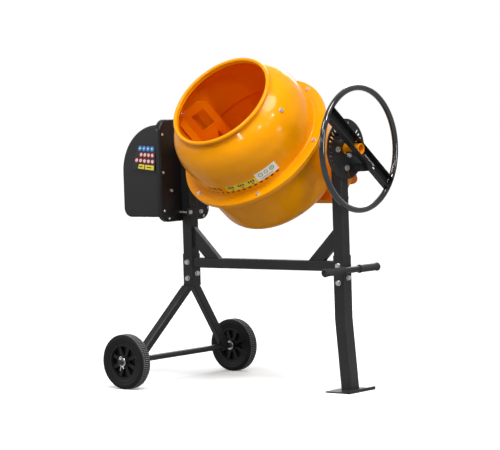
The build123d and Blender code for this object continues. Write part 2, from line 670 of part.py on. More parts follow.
def yoke():
    """Bent channel that cradles the drum, its lips turned away from the drum."""
    region = yoke_side_region()
    reach = YOKE_W

    def band(inner, outer):
        ring = offset(region, amount=outer) if outer else region
        ring -= offset(region, amount=inner) if inner else region
        slab = extrude(Plane.XZ * ring, amount=reach, both=True)
        return slab & block((-ARM_OUT, -reach, YOKE_BASE_S - 60), (ARM_OUT, reach, ARM_END_R))

    def prism(inset):
        face = Plane.YZ * yoke_front_region(inset)
        return extrude(face, amount=POST_X, both=True)

    shell = band(0, YOKE_LIP) & prism(0)
    cavity = band(YOKE_T, YOKE_LIP + 1) & prism(YOKE_T)
    channel = shell - cavity
    channel -= bar((-POST_X, 0, 0), (POST_X, 0, 0), TRUNNION_R)
    channel -= bar((0, 0, YOKE_BASE_S - 20), (0, 0, YOKE_BASE_S + 10), SPINDLE_R + SLIP)
    return DRUM_FRAME * channel


def left_trunnion():
    """Hollow journal; the drive shaft runs through it."""
    return TILT_FRAME * bar((-POST_OUT + 1, 0, 0), (-ARM_WEB_IN, 0, 0), TRUNNION_R, TRUNNION_BORE)


def right_trunnion():
    """Hollow journal that passes through the lock disc and the handwheel's spoke."""
    tube = bar((ARM_WEB_IN, 0, 0), (TRUNNION_END_X, 0, 0), TRUNNION_R, TRUNNION_BORE)
    cross = bar((PIVOT_X, 0, -2 * TRUNNION_R), (PIVOT_X, 0, 2 * TRUNNION_R), PIVOT_BOLT / 2 + SLIP)
    return TILT_FRAME * tube - SPOKE_FRAME * cross


def shaft_bearings():
    """A ring bearing at each end of the left journal."""
    pieces = []
    for start in (-POST_OUT + 2, -ARM_WEB_IN - SHAFT_BEARING_W - 1):
        end = start + SHAFT_BEARING_W
        pieces.append(TILT_FRAME * bar((start, 0, 0), (end, 0, 0), TRUNNION_BORE, SHAFT_R + RUN))
    return group(*pieces)


def drum_spindle():
    """Fixed spindle that the drum turns on, with a shoulder above the yoke's base."""
    foot = YOKE_BASE_S
    top = FLOOR_S + HUB_RISE + 14
    shaft = bar((0, 0, foot - YOKE_T - 16), (0, 0, top), SPINDLE_R)
    shoulder = bar((0, 0, foot), (0, 0, HUB_LOW_S - END_PLAY), SPINDLE_R + 6)
    return DRUM_FRAME * (shaft + shoulder)


def spindle_nuts():
    """Nut under the yoke's base and nut above the upper bearing."""
    low = hex_nut((0, 0, YOKE_BASE_S - YOKE_T), (0, 0, -1), 2 * SPINDLE_R)
    top = hex_nut((0, 0, FLOOR_S + HUB_RISE + END_PLAY), (0, 0, 1), 2 * SPINDLE_R)
    return group(DRUM_FRAME * low, DRUM_FRAME * top)


# ---- drum: built in its own frame ----
def spun(path, wall, outward):
    """Sheet of one thickness turned about the drum's axis from an outline."""
    side = Side.LEFT if outward else Side.RIGHT
    outline = path.offset_2d(wall, side=side, kind=Kind.INTERSECTION)
    return revolve(Plane.XZ * make_face(outline), Axis.Z)


def upper_path():
    """Outside line of the mouth half, from the bead down to the lip's edge, as (radius, height)."""
    neck_s = MOUTH_S - BEAD_R - 5
    points = [(MOUTH_R - 3, MOUTH_S), (NECK_R, neck_s), (BELLY_R - 16, BELLY_S + 66), (BELLY_R, BELLY_S),
              (WAIST_R, FLANGE_S), (FLANGE_R, FLANGE_S), (FLANGE_R, FLANGE_S - LIP_DROP)]
    return FilletPolyline(*points, radius=[8, 110, 140, 7, 4])


def drum_upper():
    """Mouth half: rolled bead, neck, rounded shoulder, flat flange and turned-down lip."""
    shell = spun(upper_path(), SHEET, False)
    bead = Pos(0, 0, MOUTH_S) * Torus(MOUTH_R, BEAD_R)
    shell = bead + shell
    for x in (-1, 1):
        shell -= blade_bolt_hole(x)
    for place in flange_bolt_places():
        shell -= bolt_hole(place, (0, 0, 1), GEAR_BOLT, 3 * SHEET)
    return DRUM_FRAME * shell


def flange_bolt_places():
    """Seats of the six bolts round the flange."""
    return [(BOLT_CIRCLE_R * cos(radians(60 * i)), BOLT_CIRCLE_R * sin(radians(60 * i)), FLANGE_S)
            for i in range(6)]


def drum_lower():
    """Bottom half: flat flange, nearly straight wall, rounded foot and flat floor with the hub's hole."""
    top = FLANGE_S - SHEET
    floor = FLOOR_S + SHEET
    points = [(RING_OUT + SHROUD_T, top), (BASIN_R - SHEET, top), (BASIN_LOW_R - SHEET, BASIN_LOW_S),
              (200, -184), (80, floor), (HUB_TUBE_R, floor)]
    path = FilletPolyline(*points, radius=[5, 50, 100, 300])
    shell = spun(path, SHEET, True)
    for place in flange_bolt_places():
        shell -= bolt_hole(place, (0, 0, 1), GEAR_BOLT, 3 * SHEET)
    for place in hub_bolt_places():
        shell -= bolt_hole(place, (0, 0, 1), GEAR_BOLT, 4 * SHEET)
    return DRUM_FRAME * shell


def ring_tooth():
    """One tooth of the crown gear at angle 0, tapering towards the drum's axis."""
    faces = []
    for radius in (RING_IN, RING_OUT):
        module = 2 * radius / RING_TEETH
        pitch_s = radius / RATIO
        half = TOOTH_SHARE * pi * module / 2
        slope = tan(radians(20))
        tip = pitch_s - ADDENDUM * module
        root = pitch_s + DEDENDUM * module + 1
        plane = Plane(origin=(radius, 0, 0), x_dir=(0, 1, 0), z_dir=(1, 0, 0))
        outline = Polyline((-half + ADDENDUM * module * slope, tip), (half - ADDENDUM * module * slope, tip),
                           (half + (root - pitch_s) * slope, root), (-half - (root - pitch_s) * slope, root),
                           close=True)
        faces.append(plane * make_face(outline))
    return loft(faces, ruled=True)


def ring_segment():
    """One cast segment of the crown gear with its share of teeth."""
    span = 360 / RING_SEGMENTS
    module = 2 * RING_OUT / RING_TEETH
    root = RING_OUT / RATIO + DEDENDUM * module
    tip = RING_IN / RATIO - ADDENDUM * 2 * RING_IN / RING_TEETH
    out = RING_OUT + SHROUD_T
    body = Plane.XZ * make_face(Polyline((RING_IN, RING_TOP_S), (out, RING_TOP_S), (out, tip), (RING_OUT, tip),
                                         (RING_OUT, root), (RING_IN, root), close=True))
    arc = revolve(body, Axis.Z, revolution_arc=span - 0.15)
    arc = Rot(0, 0, -span / 2 + 0.075) * arc
    share = RING_TEETH // RING_SEGMENTS
    tooth = ring_tooth()
    teeth = [Rot(0, 0, (i + 0.5 - share / 2) * 360 / RING_TEETH) * tooth for i in range(share)]
    arc = arc + teeth
    for angle in (-30, 30):
        spot = (BOLT_CIRCLE_R * cos(radians(angle)), BOLT_CIRCLE_R * sin(radians(angle)), RING_TOP_S)
        arc -= bolt_hole(spot, (0, 0, 1), GEAR_BOLT, 11)
    return arc


def ring_gear():
    """Crown gear in bolted segments, teeth facing the drum's floor."""
    segment = ring_segment()
    step = 360 / RING_SEGMENTS
    return DRUM_FRAME * group(*[Rot(0, 0, i * step + 30) * segment for i in range(RING_SEGMENTS)])


def hub_bolt_places():
    middle = (HUB_TUBE_R + HUB_FLANGE_R) / 2
    return [(middle * cos(radians(45 + 90 * i)), middle * sin(radians(45 + 90 * i)), FLOOR_S + SHEET)
            for i in range(4)]


def drum_hub():
    """Flanged tube through the drum's floor that holds the two bearings."""
    low, high = HUB_LOW_S, FLOOR_S + HUB_RISE
    tube = bar((0, 0, low), (0, 0, high), HUB_TUBE_R, HUB_BEARING_R)
    flange = bar((0, 0, FLOOR_S - HUB_FLANGE_T), (0, 0, FLOOR_S), HUB_FLANGE_R, HUB_BEARING_R)
    hub = tube + flange
    for place in hub_bolt_places():
        hub -= bolt_hole(place, (0, 0, 1), GEAR_BOLT, SHEET + HUB_FLANGE_T + 1)
    return DRUM_FRAME * hub


def hub_bearings():
    """Two ring bearings pressed into the hub."""
    low = HUB_LOW_S
    high = FLOOR_S + HUB_RISE
    return group(*[DRUM_FRAME * bar((0, 0, s), (0, 0, s + HUB_BEARING_W), HUB_BEARING_R, SPINDLE_R + RUN)
                   for s in (low, high - HUB_BEARING_W)])


def hub_cap():
    """Domed cover inside the drum that keeps mortar off the upper bearing."""
    base = FLOOR_S + SHEET
    top = FLOOR_S + HUB_RISE + 24
    outer = bar((0, 0, base), (0, 0, top), HUB_TUBE_R + 3)
    outer = fillet(outer.edges().sort_by(Axis.Z)[-1:], 6)
    inner = bar((0, 0, base), (0, 0, top - 3), HUB_TUBE_R)
    return DRUM_FRAME * (outer - inner)


def blade_bolt_seat(side):
    """Outside point of the shoulder where a blade's bolt goes, and its outward way."""
    spot = upper_path() @ BLADE_BOLT_SHARE
    along = upper_path() % BLADE_BOLT_SHARE
    return (side * spot.X, 0, spot.Y), (side * -along.Y, 0, along.X)


def blade_bolt_hole(side):
    seat, out = blade_bolt_seat(side)
    start = Vector(*seat) + Vector(*out) * 10
    return bolt_hole(tuple(start), out, GEAR_BOLT, 30)


def blade():
    """Pressed paddle along the wall on the +X side: leaning panel with two windows and wall flange."""
    root = BASIN_LOW_R - SHEET - 5
    lean = radians(BLADE_LEAN)
    way = Vector(-cos(lean), -sin(lean), 0)
    plane = Plane(origin=(root, 0, 0), x_dir=way, z_dir=Vector(0, 0, 1).cross(way) * -1)
    # On this plane x runs inward across the panel and y runs along the drum's axis.
    up = 1 if plane.y_dir.Z > 0 else -1
    top, end = up * BLADE_TOP_S, up * BLADE_END_S
    margin = (BLADE_W - WINDOW_W) / 2
    outline = Polyline((0, top), (BLADE_W - 25, top), (BLADE_W, top - up * 28), (BLADE_W, end + up * 30),
                       (BLADE_W - 40, end), (0, end), close=True)
    panel = make_face(outline)
    first = up * (BLADE_TOP_S - 38 - WINDOW_L / 2)
    panel -= Pos(BLADE_W / 2, first) * Rectangle(WINDOW_W, WINDOW_L)
    notch_s = up * 57
    panel -= make_face(Polyline((margin, notch_s - up * WINDOW_L), (BLADE_W - margin, notch_s - up * WINDOW_L),
                                (BLADE_W - margin - 8, notch_s), close=True))
    sheet = extrude(plane * panel, amount=BLADE_T / 2, both=True)
    flange = block((root - BLADE_T, 0, BLADE_END_S), (root, 30, BLADE_TOP_S - 22))
    seat, out = blade_bolt_seat(1)
    tab_plane = Plane(origin=seat, x_dir=(0, 1, 0), z_dir=out).offset(-SHEET - TAB_GAP)
    tab = extrude(tab_plane * Rectangle(TAB, TAB), amount=-BLADE_T)
    return sheet + flange + tab


def mixing_blades():
    """Two paddles, half a turn apart, trimmed clear of the sheet that they are bolted to."""
    one = blade() & Cylinder(BASIN_LOW_R - SHEET - BLADE_GAP, 3 * BLADE_TOP_S)
    one -= spun(upper_path(), SHEET + BLADE_GAP, False)
    one -= blade_bolt_hole(1)
    one = one.solids().sort_by(SortBy.VOLUME)[-1]
    other = Rot(0, 0, 180) * one
    return group(DRUM_FRAME * one, DRUM_FRAME * other)


def drum_bolts():
    """Bolts of the flange and crown gear, of the hub and of the blades."""
    pieces = []
    for place in flange_bolt_places():
        pieces.append(hex_bolt(place, (0, 0, 1), GEAR_BOLT, 2 * SHEET + 10))
    for place in hub_bolt_places():
        pieces.append(hex_bolt(place, (0, 0, 1), GEAR_BOLT, SHEET + HUB_FLANGE_T + 7))
        under = (place[0], place[1], FLOOR_S - HUB_FLANGE_T)
        pieces.append(hex_nut(under, (0, 0, -1), GEAR_BOLT))
    for side in (-1, 1):
        seat, out = blade_bolt_seat(side)
        pieces.append(hex_bolt(seat, out, GEAR_BOLT, SHEET + BLADE_T + 12))
    return group(*[DRUM_FRAME * piece for piece in pieces])


# ---- bevel pinion, drive shaft and belt drive ----
def pinion():
    """Small bevel gear on the drive shaft, tapering towards the drum's axis."""
    faces = []
    for radius in (RING_IN, RING_OUT):
        module = 2 * radius / RING_TEETH
        pitch = radius / RATIO
        points = []
        for i in range(PINION_TEETH):
            middle = 90 + i * 360 / PINION_TEETH
            for share, level in ((-1.35, -DEDENDUM), (-1, 0), (-0.5, ADDENDUM), (0.5, ADDENDUM), (1, 0),
                                 (1.35, -DEDENDUM)):
                angle = radians(middle + share * TOOTH_SHARE * 180 / PINION_TEETH)
                reach = pitch + level * module
                points.append((reach * cos(angle), reach * sin(angle)))
        plane = Plane(origin=(-radius, 0, 0), x_dir=(0, 1, 0), z_dir=(1, 0, 0))
        faces.append(plane * make_face(Polyline(*points, close=True)))
    gear = loft(faces, ruled=True)
    gear = split(gear, bisect_by=Plane(origin=(-RING_OUT + END_PLAY, 0, 0), z_dir=(1, 0, 0)), keep=Keep.TOP)
    gear -= bar((-POST_X, 0, 0), (0, 0, 0), SHAFT_R)
    return DRUM_FRAME * gear


def drive_shaft():
    """Shaft through the left journal, from the large pulley to the pinion."""
    shaft = bar((PULLEY_X - 16, 0, 0), (-RING_IN, 0, 0), SHAFT_R)
    return TILT_FRAME * shaft


def pulley(radius, bore, x, z):
    """Flanged pulley with a flat belt track and, when large, a thin web."""
    half = BELT_W / 2 + 3
    body = bar((x - half, 0, z), (x + half, 0, z), radius + 3)
    track = bar((x - half + 2, 0, z), (x + half - 2, 0, z), radius + 4, radius)
    body -= track
    if radius > 3 * bore:
        for side in (-1, 1):
            dish = bar((x + side * 4, 0, z), (x + side * (half + 1), 0, z), radius - 7, bore + 9)
            body -= dish
    return body - bar((x - half - 1, 0, z), (x + half + 1, 0, z), bore)


def large_pulley():
    """Driven pulley on the drive shaft."""
    return pulley(BIG_PULLEY_R, SHAFT_R, PULLEY_X, TILT_Z)


def small_pulley():
    """Driving pulley on the motor shaft."""
    return pulley(SMALL_PULLEY_R, ROTOR_SHAFT_R, PULLEY_X, MOTOR_Z)


def belt_outline(extra):
    """Closed line round both pulleys, extra beyond the tracks."""
    big = BIG_PULLEY_R + extra
    small = SMALL_PULLEY_R + extra
    lean = asin((big - small) / MOTOR_DROP)
    right = [(big * cos(lean), -big * sin(lean)), (small * cos(lean), -MOTOR_DROP - small * sin(lean))]
    left = [(-x, z) for x, z in right]
    line = Line(right[0], right[1])
    round_low = ThreePointArc(right[1], (0, -MOTOR_DROP - small), left[1])
    back = Line(left[1], left[0])
    round_top = ThreePointArc(left[0], (0, big), right[0])
    return make_face(Wire([line.edge(), round_low.edge(), back.edge(), round_top.edge()]))


def drive_belt():
    """Flat belt loop, clear of both tracks by its gap."""
    plane = Plane(origin=(PULLEY_X - BELT_W / 2, 0, TILT_Z), x_dir=(0, 1, 0), z_dir=(1, 0, 0))
    loop = belt_outline(PULLEY_GAP + BELT_T) - belt_outline(PULLEY_GAP)
    return extrude(plane * loop, amount=BELT_W)


# ---- motor ----
def motor_front_x():
    """The motor's pulley-side face."""
    return PULLEY_X - BELT_W / 2 - 12


def motor_housing():
    """Finned stator barrel between two end bells with bearing bores."""
    front = motor_front_x()
    back = front - MOTOR_L
    barrel = bar((back + BELL_T, 0, MOTOR_Z), (front - BELL_T, 0, MOTOR_Z), MOTOR_R - 4, ROTOR_R + ROTOR_GAP)
    for i in range(FINS):
        fin = Pos(0, MOTOR_R - 4.5, 0) * Box(MOTOR_L - 2 * BELL_T - 2, 9, 3)
        barrel += Pos((front + back) / 2, 0, MOTOR_Z) * Rot(i * 360 / FINS, 0, 0) * fin
    bells = []
    for x0, x1 in ((back, back + BELL_T), (front - BELL_T, front)):
        bells.append(bar((x0, 0, MOTOR_Z), (x1, 0, MOTOR_Z), MOTOR_R - 2, ROTOR_SHAFT_R + RUN))
    return group(barrel, *bells)


def motor_rotor():
    """Rotor core on its shaft."""
    front = motor_front_x()
    back = front - MOTOR_L
    core = bar((back + BELL_T + 4, 0, MOTOR_Z), (front - BELL_T - 4, 0, MOTOR_Z), ROTOR_R)
    shaft = bar((back - 6, 0, MOTOR_Z), (PULLEY_X + BELT_W / 2 + 3, 0, MOTOR_Z), ROTOR_SHAFT_R)
    return core + shaft


def bracket_feet():
    """Middles of the bracket's four legs, the upper two first."""
    heights = (MOTOR_Z + BRACKET_RISE, MOTOR_Z - BRACKET_DROP)
    return [(y, z) for z in heights for y in (-BRACKET_HALF_Y, BRACKET_HALF_Y)]


def bracket_bolt_places():
    """The upper two legs are bolted to the tray; the lower two only bear on it."""
    return bracket_feet()[:2]


def motor_bracket():
    """Plate between the motor and the tray, on four legs; the upper two are tapped for the tray's bolts."""
    front = motor_front_x()
    back = TRAY_BACK_X - SHELL
    edge = BRACKET_LEG_R + 2
    half_y = BRACKET_HALF_Y + edge
    low, high = MOTOR_Z - BRACKET_DROP - edge, MOTOR_Z + BRACKET_RISE + edge
    bracket = block((front, -half_y, low), (front + BRACKET_T, half_y, high))
    bracket -= bar((front - 1, 0, MOTOR_Z), (front + BRACKET_T + 1, 0, MOTOR_Z), 2 * SMALL_PULLEY_R)
    for y, z in bracket_feet():
        bracket += bar((front + BRACKET_T, y, z), (back, y, z), BRACKET_LEG_R)
    for y, z in bracket_bolt_places():
        bracket -= bolt_hole((back, y, z), (1, 0, 0), TRAY_BOLT, 2 * TRAY_BOLT + 1)
    return bracket


def capacitor():
    """Run capacitor beside the motor, on the bracket's plate."""
    front = motor_front_x()
    y = MOTOR_R + CAPACITOR_R + 1
    return bar((front - CAPACITOR_L, y, MOTOR_Z), (front, y, MOTOR_Z), CAPACITOR_R)


# ---- motor housing ----
def tray_outline(inset):
    """Rounded outline of the tray on the YZ plane."""
    width = TRAY_Y[1] - TRAY_Y[0] - 2 * inset
    height = TRAY_Z[1] - TRAY_Z[0] - 2 * inset
    middle = ((TRAY_Y[0] + TRAY_Y[1]) / 2, (TRAY_Z[0] + TRAY_Z[1]) / 2)
    return Pos(*middle) * RectangleRounded(width, height, TRAY_R - inset)


def housing_tray():
    """Backing shell that lies against the left post, open towards the cover."""
    face = Plane.YZ * tray_outline(0)
    outer = Pos(TRAY_EDGE_X, 0, 0) * extrude(face, amount=TRAY_DEPTH)
    outer = fillet(outer.faces().sort_by(Axis.X)[-1].edges(), 8)
    inner = Pos(TRAY_EDGE_X, 0, 0) * extrude(Plane.YZ * tray_outline(SHELL), amount=TRAY_DEPTH - SHELL)
    tray = outer - inner
    tray -= bar((TRAY_BACK_X - SHELL - 1, 0, TILT_Z), (TRAY_BACK_X + 1, 0, TILT_Z), TRUNNION_R + 2)
    for y in (-CLAMP_BOLT_Y, CLAMP_BOLT_Y):
        tray -= bolt_hole((TRAY_BACK_X + 1, y, CLAMP_Z), (1, 0, 0), CLAMP_BOLT, SHELL + 2)
    for y, z in bracket_bolt_places():
        tray -= bolt_hole((TRAY_BACK_X + 1, y, z), (1, 0, 0), TRAY_BOLT, SHELL + 2)
    return tray


def cover_outline(inset):
    """Side outline of the cover: square to the tray, big round top corner, small round foot."""
    low, high = COVER_Z[0] + inset, COVER_Z[1] - inset
    far = COVER_END_X + inset
    shape = make_face(Polyline((TRAY_EDGE_X, low), (far, low), (far, high), (TRAY_EDGE_X, high), close=True))
    corner_top = shape.vertices().filter_by(lambda v: v.X < far + 1 and v.Y > high - 1)
    shape = fillet(corner_top, COVER_TOP_R - inset)
    corner_low = shape.vertices().filter_by(lambda v: v.X < far + 1 and v.Y < low + 1)
    return fillet(corner_low, COVER_LOW_R - inset)


def housing_cover():
    """Deep moulded cover over the belt and motor, with a rim that meets the tray."""
    y0, y1 = TRAY_Y[0] + COVER_INSET, TRAY_Y[1] - COVER_INSET
    outer = extrude(Plane.XZ * cover_outline(0), amount=-(y1 - y0))
    outer = Pos(0, y0, 0) * outer
    outer = fillet(outer.edges().filter_by(lambda e: min(abs(e.center().Y - y0), abs(e.center().Y - y1)) < 0.1
                                           and e.center().X < TRAY_EDGE_X - 1), 7)
    inner = extrude(Plane.XZ * cover_outline(SHELL), amount=-(y1 - y0 - 2 * SHELL))
    inner = Pos(0, y0 + SHELL, 0) * inner
    rim_face = Plane.YZ * (tray_outline(0) - tray_outline(COVER_INSET + SHELL + 8))
    rim = Pos(TRAY_EDGE_X - SHELL, 0, 0) * extrude(rim_face, amount=SHELL)
    shell = outer + rim - inner
    x0, x1 = COVER_END_X - 1, COVER_END_X + SHELL + 1
    half = BUTTON / 2 + 1
    shell -= block((x0, -BUTTON_SPACING, SWITCH_AT_Z - half), (x1, BUTTON_SPACING, SWITCH_AT_Z + half))
    shell -= bar((x0, 0, INLET_Z), (x1, 0, INLET_Z), INLET_R - 4)
    return shell


def screw_places():
    """Screws round the tray's rim, through into the cover: three up each side and two along the foot."""
    y_low, y_high = TRAY_Y[0] + SCREW_EDGE, TRAY_Y[1] - SCREW_EDGE
    z_low, z_high = TRAY_Z[0] + TRAY_R, TRAY_Z[1] - TRAY_R - SCREW_EDGE
    heights = [z_low, (z_low + z_high) / 2, z_high]
    foot = [(y_low + FOOT_SCREW, TRAY_Z[0] + SCREW_EDGE), (y_high - FOOT_SCREW, TRAY_Z[0] + SCREW_EDGE)]
    return [(y, z) for y in (y_low, y_high) for z in heights] + foot


def housing_screws():
    """Pan-head screws of the cover and the motor bracket's two bolts, in the tray's post side."""
    pieces = []
    for y, z in screw_places():
        plane = Plane(origin=(TRAY_BACK_X, y, z), z_dir=(1, 0, 0))
        head = extrude(plane * Circle(SCREW), amount=SCREW / 2)
        pieces.append(fillet(head.edges().sort_by(Axis.X)[-1:], SCREW / 4))
    for y, z in bracket_bolt_places():
        pieces.append(hex_bolt((TRAY_BACK_X, y, z), (1, 0, 0), TRAY_BOLT, SHELL + 2 * TRAY_BOLT))
    return group(*pieces)


def strap_clamp():
    """Bar across the inner face of the left post that pulls the housing on to it."""
    x0 = -POST_IN
    half_y = CLAMP_BOLT_Y + 13
    strap = block((x0, -half_y, CLAMP_Z - 13), (x0 + CLAMP_T, half_y, CLAMP_Z + 13))
    for y in (-CLAMP_BOLT_Y, CLAMP_BOLT_Y):
        strap -= bolt_hole((x0 + CLAMP_T, y, CLAMP_Z), (1, 0, 0), CLAMP_BOLT, CLAMP_T)
    return strap


def clamp_bolts():
    """Two long bolts from the strap into the housing, with nuts inside it."""
    pieces = []
    seat_x = -POST_IN + CLAMP_T
    back_x = TRAY_BACK_X - SHELL
    for y in (-CLAMP_BOLT_Y, CLAMP_BOLT_Y):
        pieces.append(hex_bolt((seat_x, y, CLAMP_Z), (1, 0, 0), CLAMP_BOLT, seat_x - back_x + CLAMP_BOLT))
        pieces.append(hex_nut((back_x, y, CLAMP_Z), (-1, 0, 0), CLAMP_BOLT))
    return group(*pieces)


# ---- switch and inlet on the end of the cover ----
def button_y(which):
    return which * BUTTON_SPACING / 2


def switch_body():
    """Box on the cover's end with a square well for each button."""
    x1 = COVER_END_X
    x0 = x1 - SWITCH_DEPTH
    low = (x0, -SWITCH_Z / 2, SWITCH_AT_Z - SWITCH_Y / 2)
    body = block(low, (x1, SWITCH_Z / 2, SWITCH_AT_Z + SWITCH_Y / 2))
    body = fillet(body.edges().filter_by(Axis.X), 6)
    for which in (-1, 1):
        y = button_y(which)
        half = BUTTON / 2 + END_PLAY
        body -= block((x0 - 1, y - half, SWITCH_AT_Z - half), (x1 - 4, y + half, SWITCH_AT_Z + half))
    return body


def button(which):
    """Square push button standing proud of its well."""
    x0 = COVER_END_X - SWITCH_DEPTH - BUTTON_PROUD
    x1 = COVER_END_X - 4 - BUTTON_TRAVEL - 1
    y = button_y(which)
    half = BUTTON / 2
    cap = block((x0, y - half, SWITCH_AT_Z - half), (x1, y + half, SWITCH_AT_Z + half))
    return fillet(cap.faces().sort_by(Axis.X)[0].edges(), 1.5)


def power_inlet():
    """Round recessed inlet for a supply lead, below the switch."""
    z = INLET_Z
    x1 = COVER_END_X
    body = bar((x1 - 6, 0, z), (x1, 0, z), INLET_R)
    barrel = bar((x1, 0, z), (x1 + INLET_DEPTH, 0, z), INLET_R - 4.5)
    inlet = body + barrel
    inlet -= bar((x1 - 7, 0, z), (x1 + INLET_DEPTH - 4, 0, z), INLET_R - 8)
    for turn in range(3):
        y = INLET_R / 3 * cos(radians(90 + 120 * turn))
        dz = INLET_R / 3 * sin(radians(90 + 120 * turn))
        inlet += bar((x1 - 3, y, z + dz), (x1 + INLET_DEPTH - 2, y, z + dz), CONTACT_R)
    return inlet


# ---- the whole mixer ----
NODES = {
    "left_post": post(-1),
    "right_post": post(1),
    "left_socket": left_socket(),
    "right_leg": right_leg(),
    "foot_plate": foot_plate(),
    "cross_beam": cross_beam(),
    "gusset_braces": group(gusset(-1), gusset(1)),
    "front_axle_leg": axle_leg(-1),
    "rear_axle_leg": axle_leg(1),
    "axle": axle(),
    "front_tyre": tyre(-1),
    "rear_tyre": tyre(1),
    "front_hub": road_hub(-1),
    "rear_hub": road_hub(1),
    "wheel_retainers": wheel_retainers(),
    "frame_bolts": frame_bolts(),
    "transport_handle": transport_handle(),
    "handle_grips": handle_grips(),
    "left_bearing_sleeve": left_bearing_sleeve(),
    "right_bearing_sleeve": right_bearing_sleeve(),
    "lock_disc": lock_disc(),
    "disc_bolts": disc_bolts(),
    "handwheel_rim": handwheel_rim(),
    "handwheel_spoke": handwheel_spoke(),
    "lock_tongue": lock_tongue(),
    "lock_spring": lock_spring(),
    "pivot_bolt": pivot_bolt(),
    "yoke": yoke(),
    "left_trunnion": left_trunnion(),
    "right_trunnion": right_trunnion(),
    "shaft_bearings": shaft_bearings(),
    "drum_spindle": drum_spindle(),
    "spindle_nuts": spindle_nuts(),
    "drum_upper": drum_upper(),
    "drum_lower": drum_lower(),
    "ring_gear": ring_gear(),
    "drum_hub": drum_hub(),
    "hub_bearings": hub_bearings(),
    "hub_cap": hub_cap(),
    "mixing_blades": mixing_blades(),
    "drum_bolts": drum_bolts(),
    "pinion": pinion(),
    "drive_shaft": drive_shaft(),
    "large_pulley": large_pulley(),
    "small_pulley": small_pulley(),
    "drive_belt": drive_belt(),
    "motor_housing": motor_housing(),
    "motor_rotor": motor_rotor(),
    "motor_bracket": motor_bracket(),
    "capacitor": capacitor(),
    "housing_tray": housing_tray(),
    "housing_cover": housing_cover(),
    "housing_screws": housing_screws(),
    "strap_clamp": strap_clamp(),
    "clamp_bolts": clamp_bolts(),
    "switch_body": switch_body(),
    "start_button": button(1),
    "stop_button": button(-1),
    "power_inlet": power_inlet(),
}

# The origin goes to the middle of the floor area that the mixer covers.
boxes = [node.bounding_box() for node in NODES.values()]
middle_x = (min(b.min.X for b in boxes) + max(b.max.X for b in boxes)) / 2
middle_y = (min(b.min.Y for b in boxes) + max(b.max.Y for b in boxes)) / 2
PLACE = Location((-middle_x, -middle_y, 0))

os.makedirs("parts", exist_ok=True)
for name, node in NODES.items():
    export_step(PLACE * node, f"parts/{name}.step")
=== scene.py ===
"""A tilting-drum concrete mixer on a wheeled stand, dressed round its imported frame."""

import json
from math import atan2, cos, pi, radians, sin, tau

import bmesh
import bpy
from mathutils import Matrix, Vector
from mathutils.bvhtree import BVHTree


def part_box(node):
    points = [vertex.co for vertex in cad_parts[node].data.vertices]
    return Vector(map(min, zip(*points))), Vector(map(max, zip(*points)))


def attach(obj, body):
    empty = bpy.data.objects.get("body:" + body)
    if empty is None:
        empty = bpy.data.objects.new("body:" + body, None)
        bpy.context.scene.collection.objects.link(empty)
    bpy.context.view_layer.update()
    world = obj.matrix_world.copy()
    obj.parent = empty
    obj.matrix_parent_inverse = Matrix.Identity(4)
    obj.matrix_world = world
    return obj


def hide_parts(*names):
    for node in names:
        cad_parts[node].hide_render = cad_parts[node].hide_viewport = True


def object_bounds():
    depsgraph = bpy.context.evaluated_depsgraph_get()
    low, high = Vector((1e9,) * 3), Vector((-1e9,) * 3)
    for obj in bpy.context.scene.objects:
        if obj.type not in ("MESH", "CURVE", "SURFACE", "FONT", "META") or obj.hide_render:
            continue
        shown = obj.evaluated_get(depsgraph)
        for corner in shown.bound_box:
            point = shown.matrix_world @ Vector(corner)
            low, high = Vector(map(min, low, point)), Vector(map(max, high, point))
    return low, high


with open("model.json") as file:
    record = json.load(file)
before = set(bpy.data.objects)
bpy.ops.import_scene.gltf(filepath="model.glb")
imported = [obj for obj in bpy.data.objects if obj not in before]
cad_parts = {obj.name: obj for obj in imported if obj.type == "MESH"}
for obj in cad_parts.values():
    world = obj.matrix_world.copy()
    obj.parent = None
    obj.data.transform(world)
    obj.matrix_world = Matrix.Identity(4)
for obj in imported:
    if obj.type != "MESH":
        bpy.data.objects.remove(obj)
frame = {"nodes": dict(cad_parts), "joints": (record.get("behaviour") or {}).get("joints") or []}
cad_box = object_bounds()

# ---- Camera, floor and studio light ----
# A long lens looks at the mixer from its mouth side and a little above the axle.
# The floor is pale matt card, and large soft boxes stand round it.
camera = bpy.data.objects.new("camera", bpy.data.cameras.new("camera"))
bpy.context.scene.collection.objects.link(camera)
camera.data.lens = 162.0
camera.data.sensor_width = 36.0
camera.data.clip_end = 60.0
right = Vector((0.77168, 0.63521, -0.03196))
up = Vector((-0.00874, 0.06084, 0.99811))
back = Vector((0.63595, -0.76994, 0.0525))
camera_turn = Matrix((right, up, back)).transposed().to_4x4()
camera.matrix_world = Matrix.Translation((5.190, -6.2755, 1.009)) @ camera_turn
bpy.context.scene.camera = camera
bpy.context.scene.view_settings.view_transform = "Standard"

card = bpy.data.materials.new("floor_card")
card.use_nodes = True
card_shader = card.node_tree.nodes["Principled BSDF"].inputs
card_shader["Roughness"].default_value = 0.9
card_shader["Specular IOR Level"].default_value = 0.0
card_shader["Emission Strength"].default_value = 0.14
seen = card.node_tree.nodes.new("ShaderNodeLightPath")
tone = card.node_tree.nodes.new("ShaderNodeMix")
tone.data_type = "RGBA"
tone.inputs[6].default_value = (0.30, 0.30, 0.30, 1)
tone.inputs[7].default_value = (0.96, 0.96, 0.96, 1)
card.node_tree.links.new(seen.outputs["Is Camera Ray"], card_shader["Emission Color"])
card.node_tree.links.new(seen.outputs["Is Camera Ray"], tone.inputs[0])
card.node_tree.links.new(tone.outputs[2], card_shader["Base Color"])
sheet = bmesh.new()
bmesh.ops.create_grid(sheet, x_segments=1, y_segments=1, size=60.0)
mesh = bpy.data.meshes.new("floor")
sheet.to_mesh(mesh)
sheet.free()
floor = bpy.data.objects.new("floor", mesh)
floor.location.z = cad_box[0][2]
floor.data.materials.append(card)
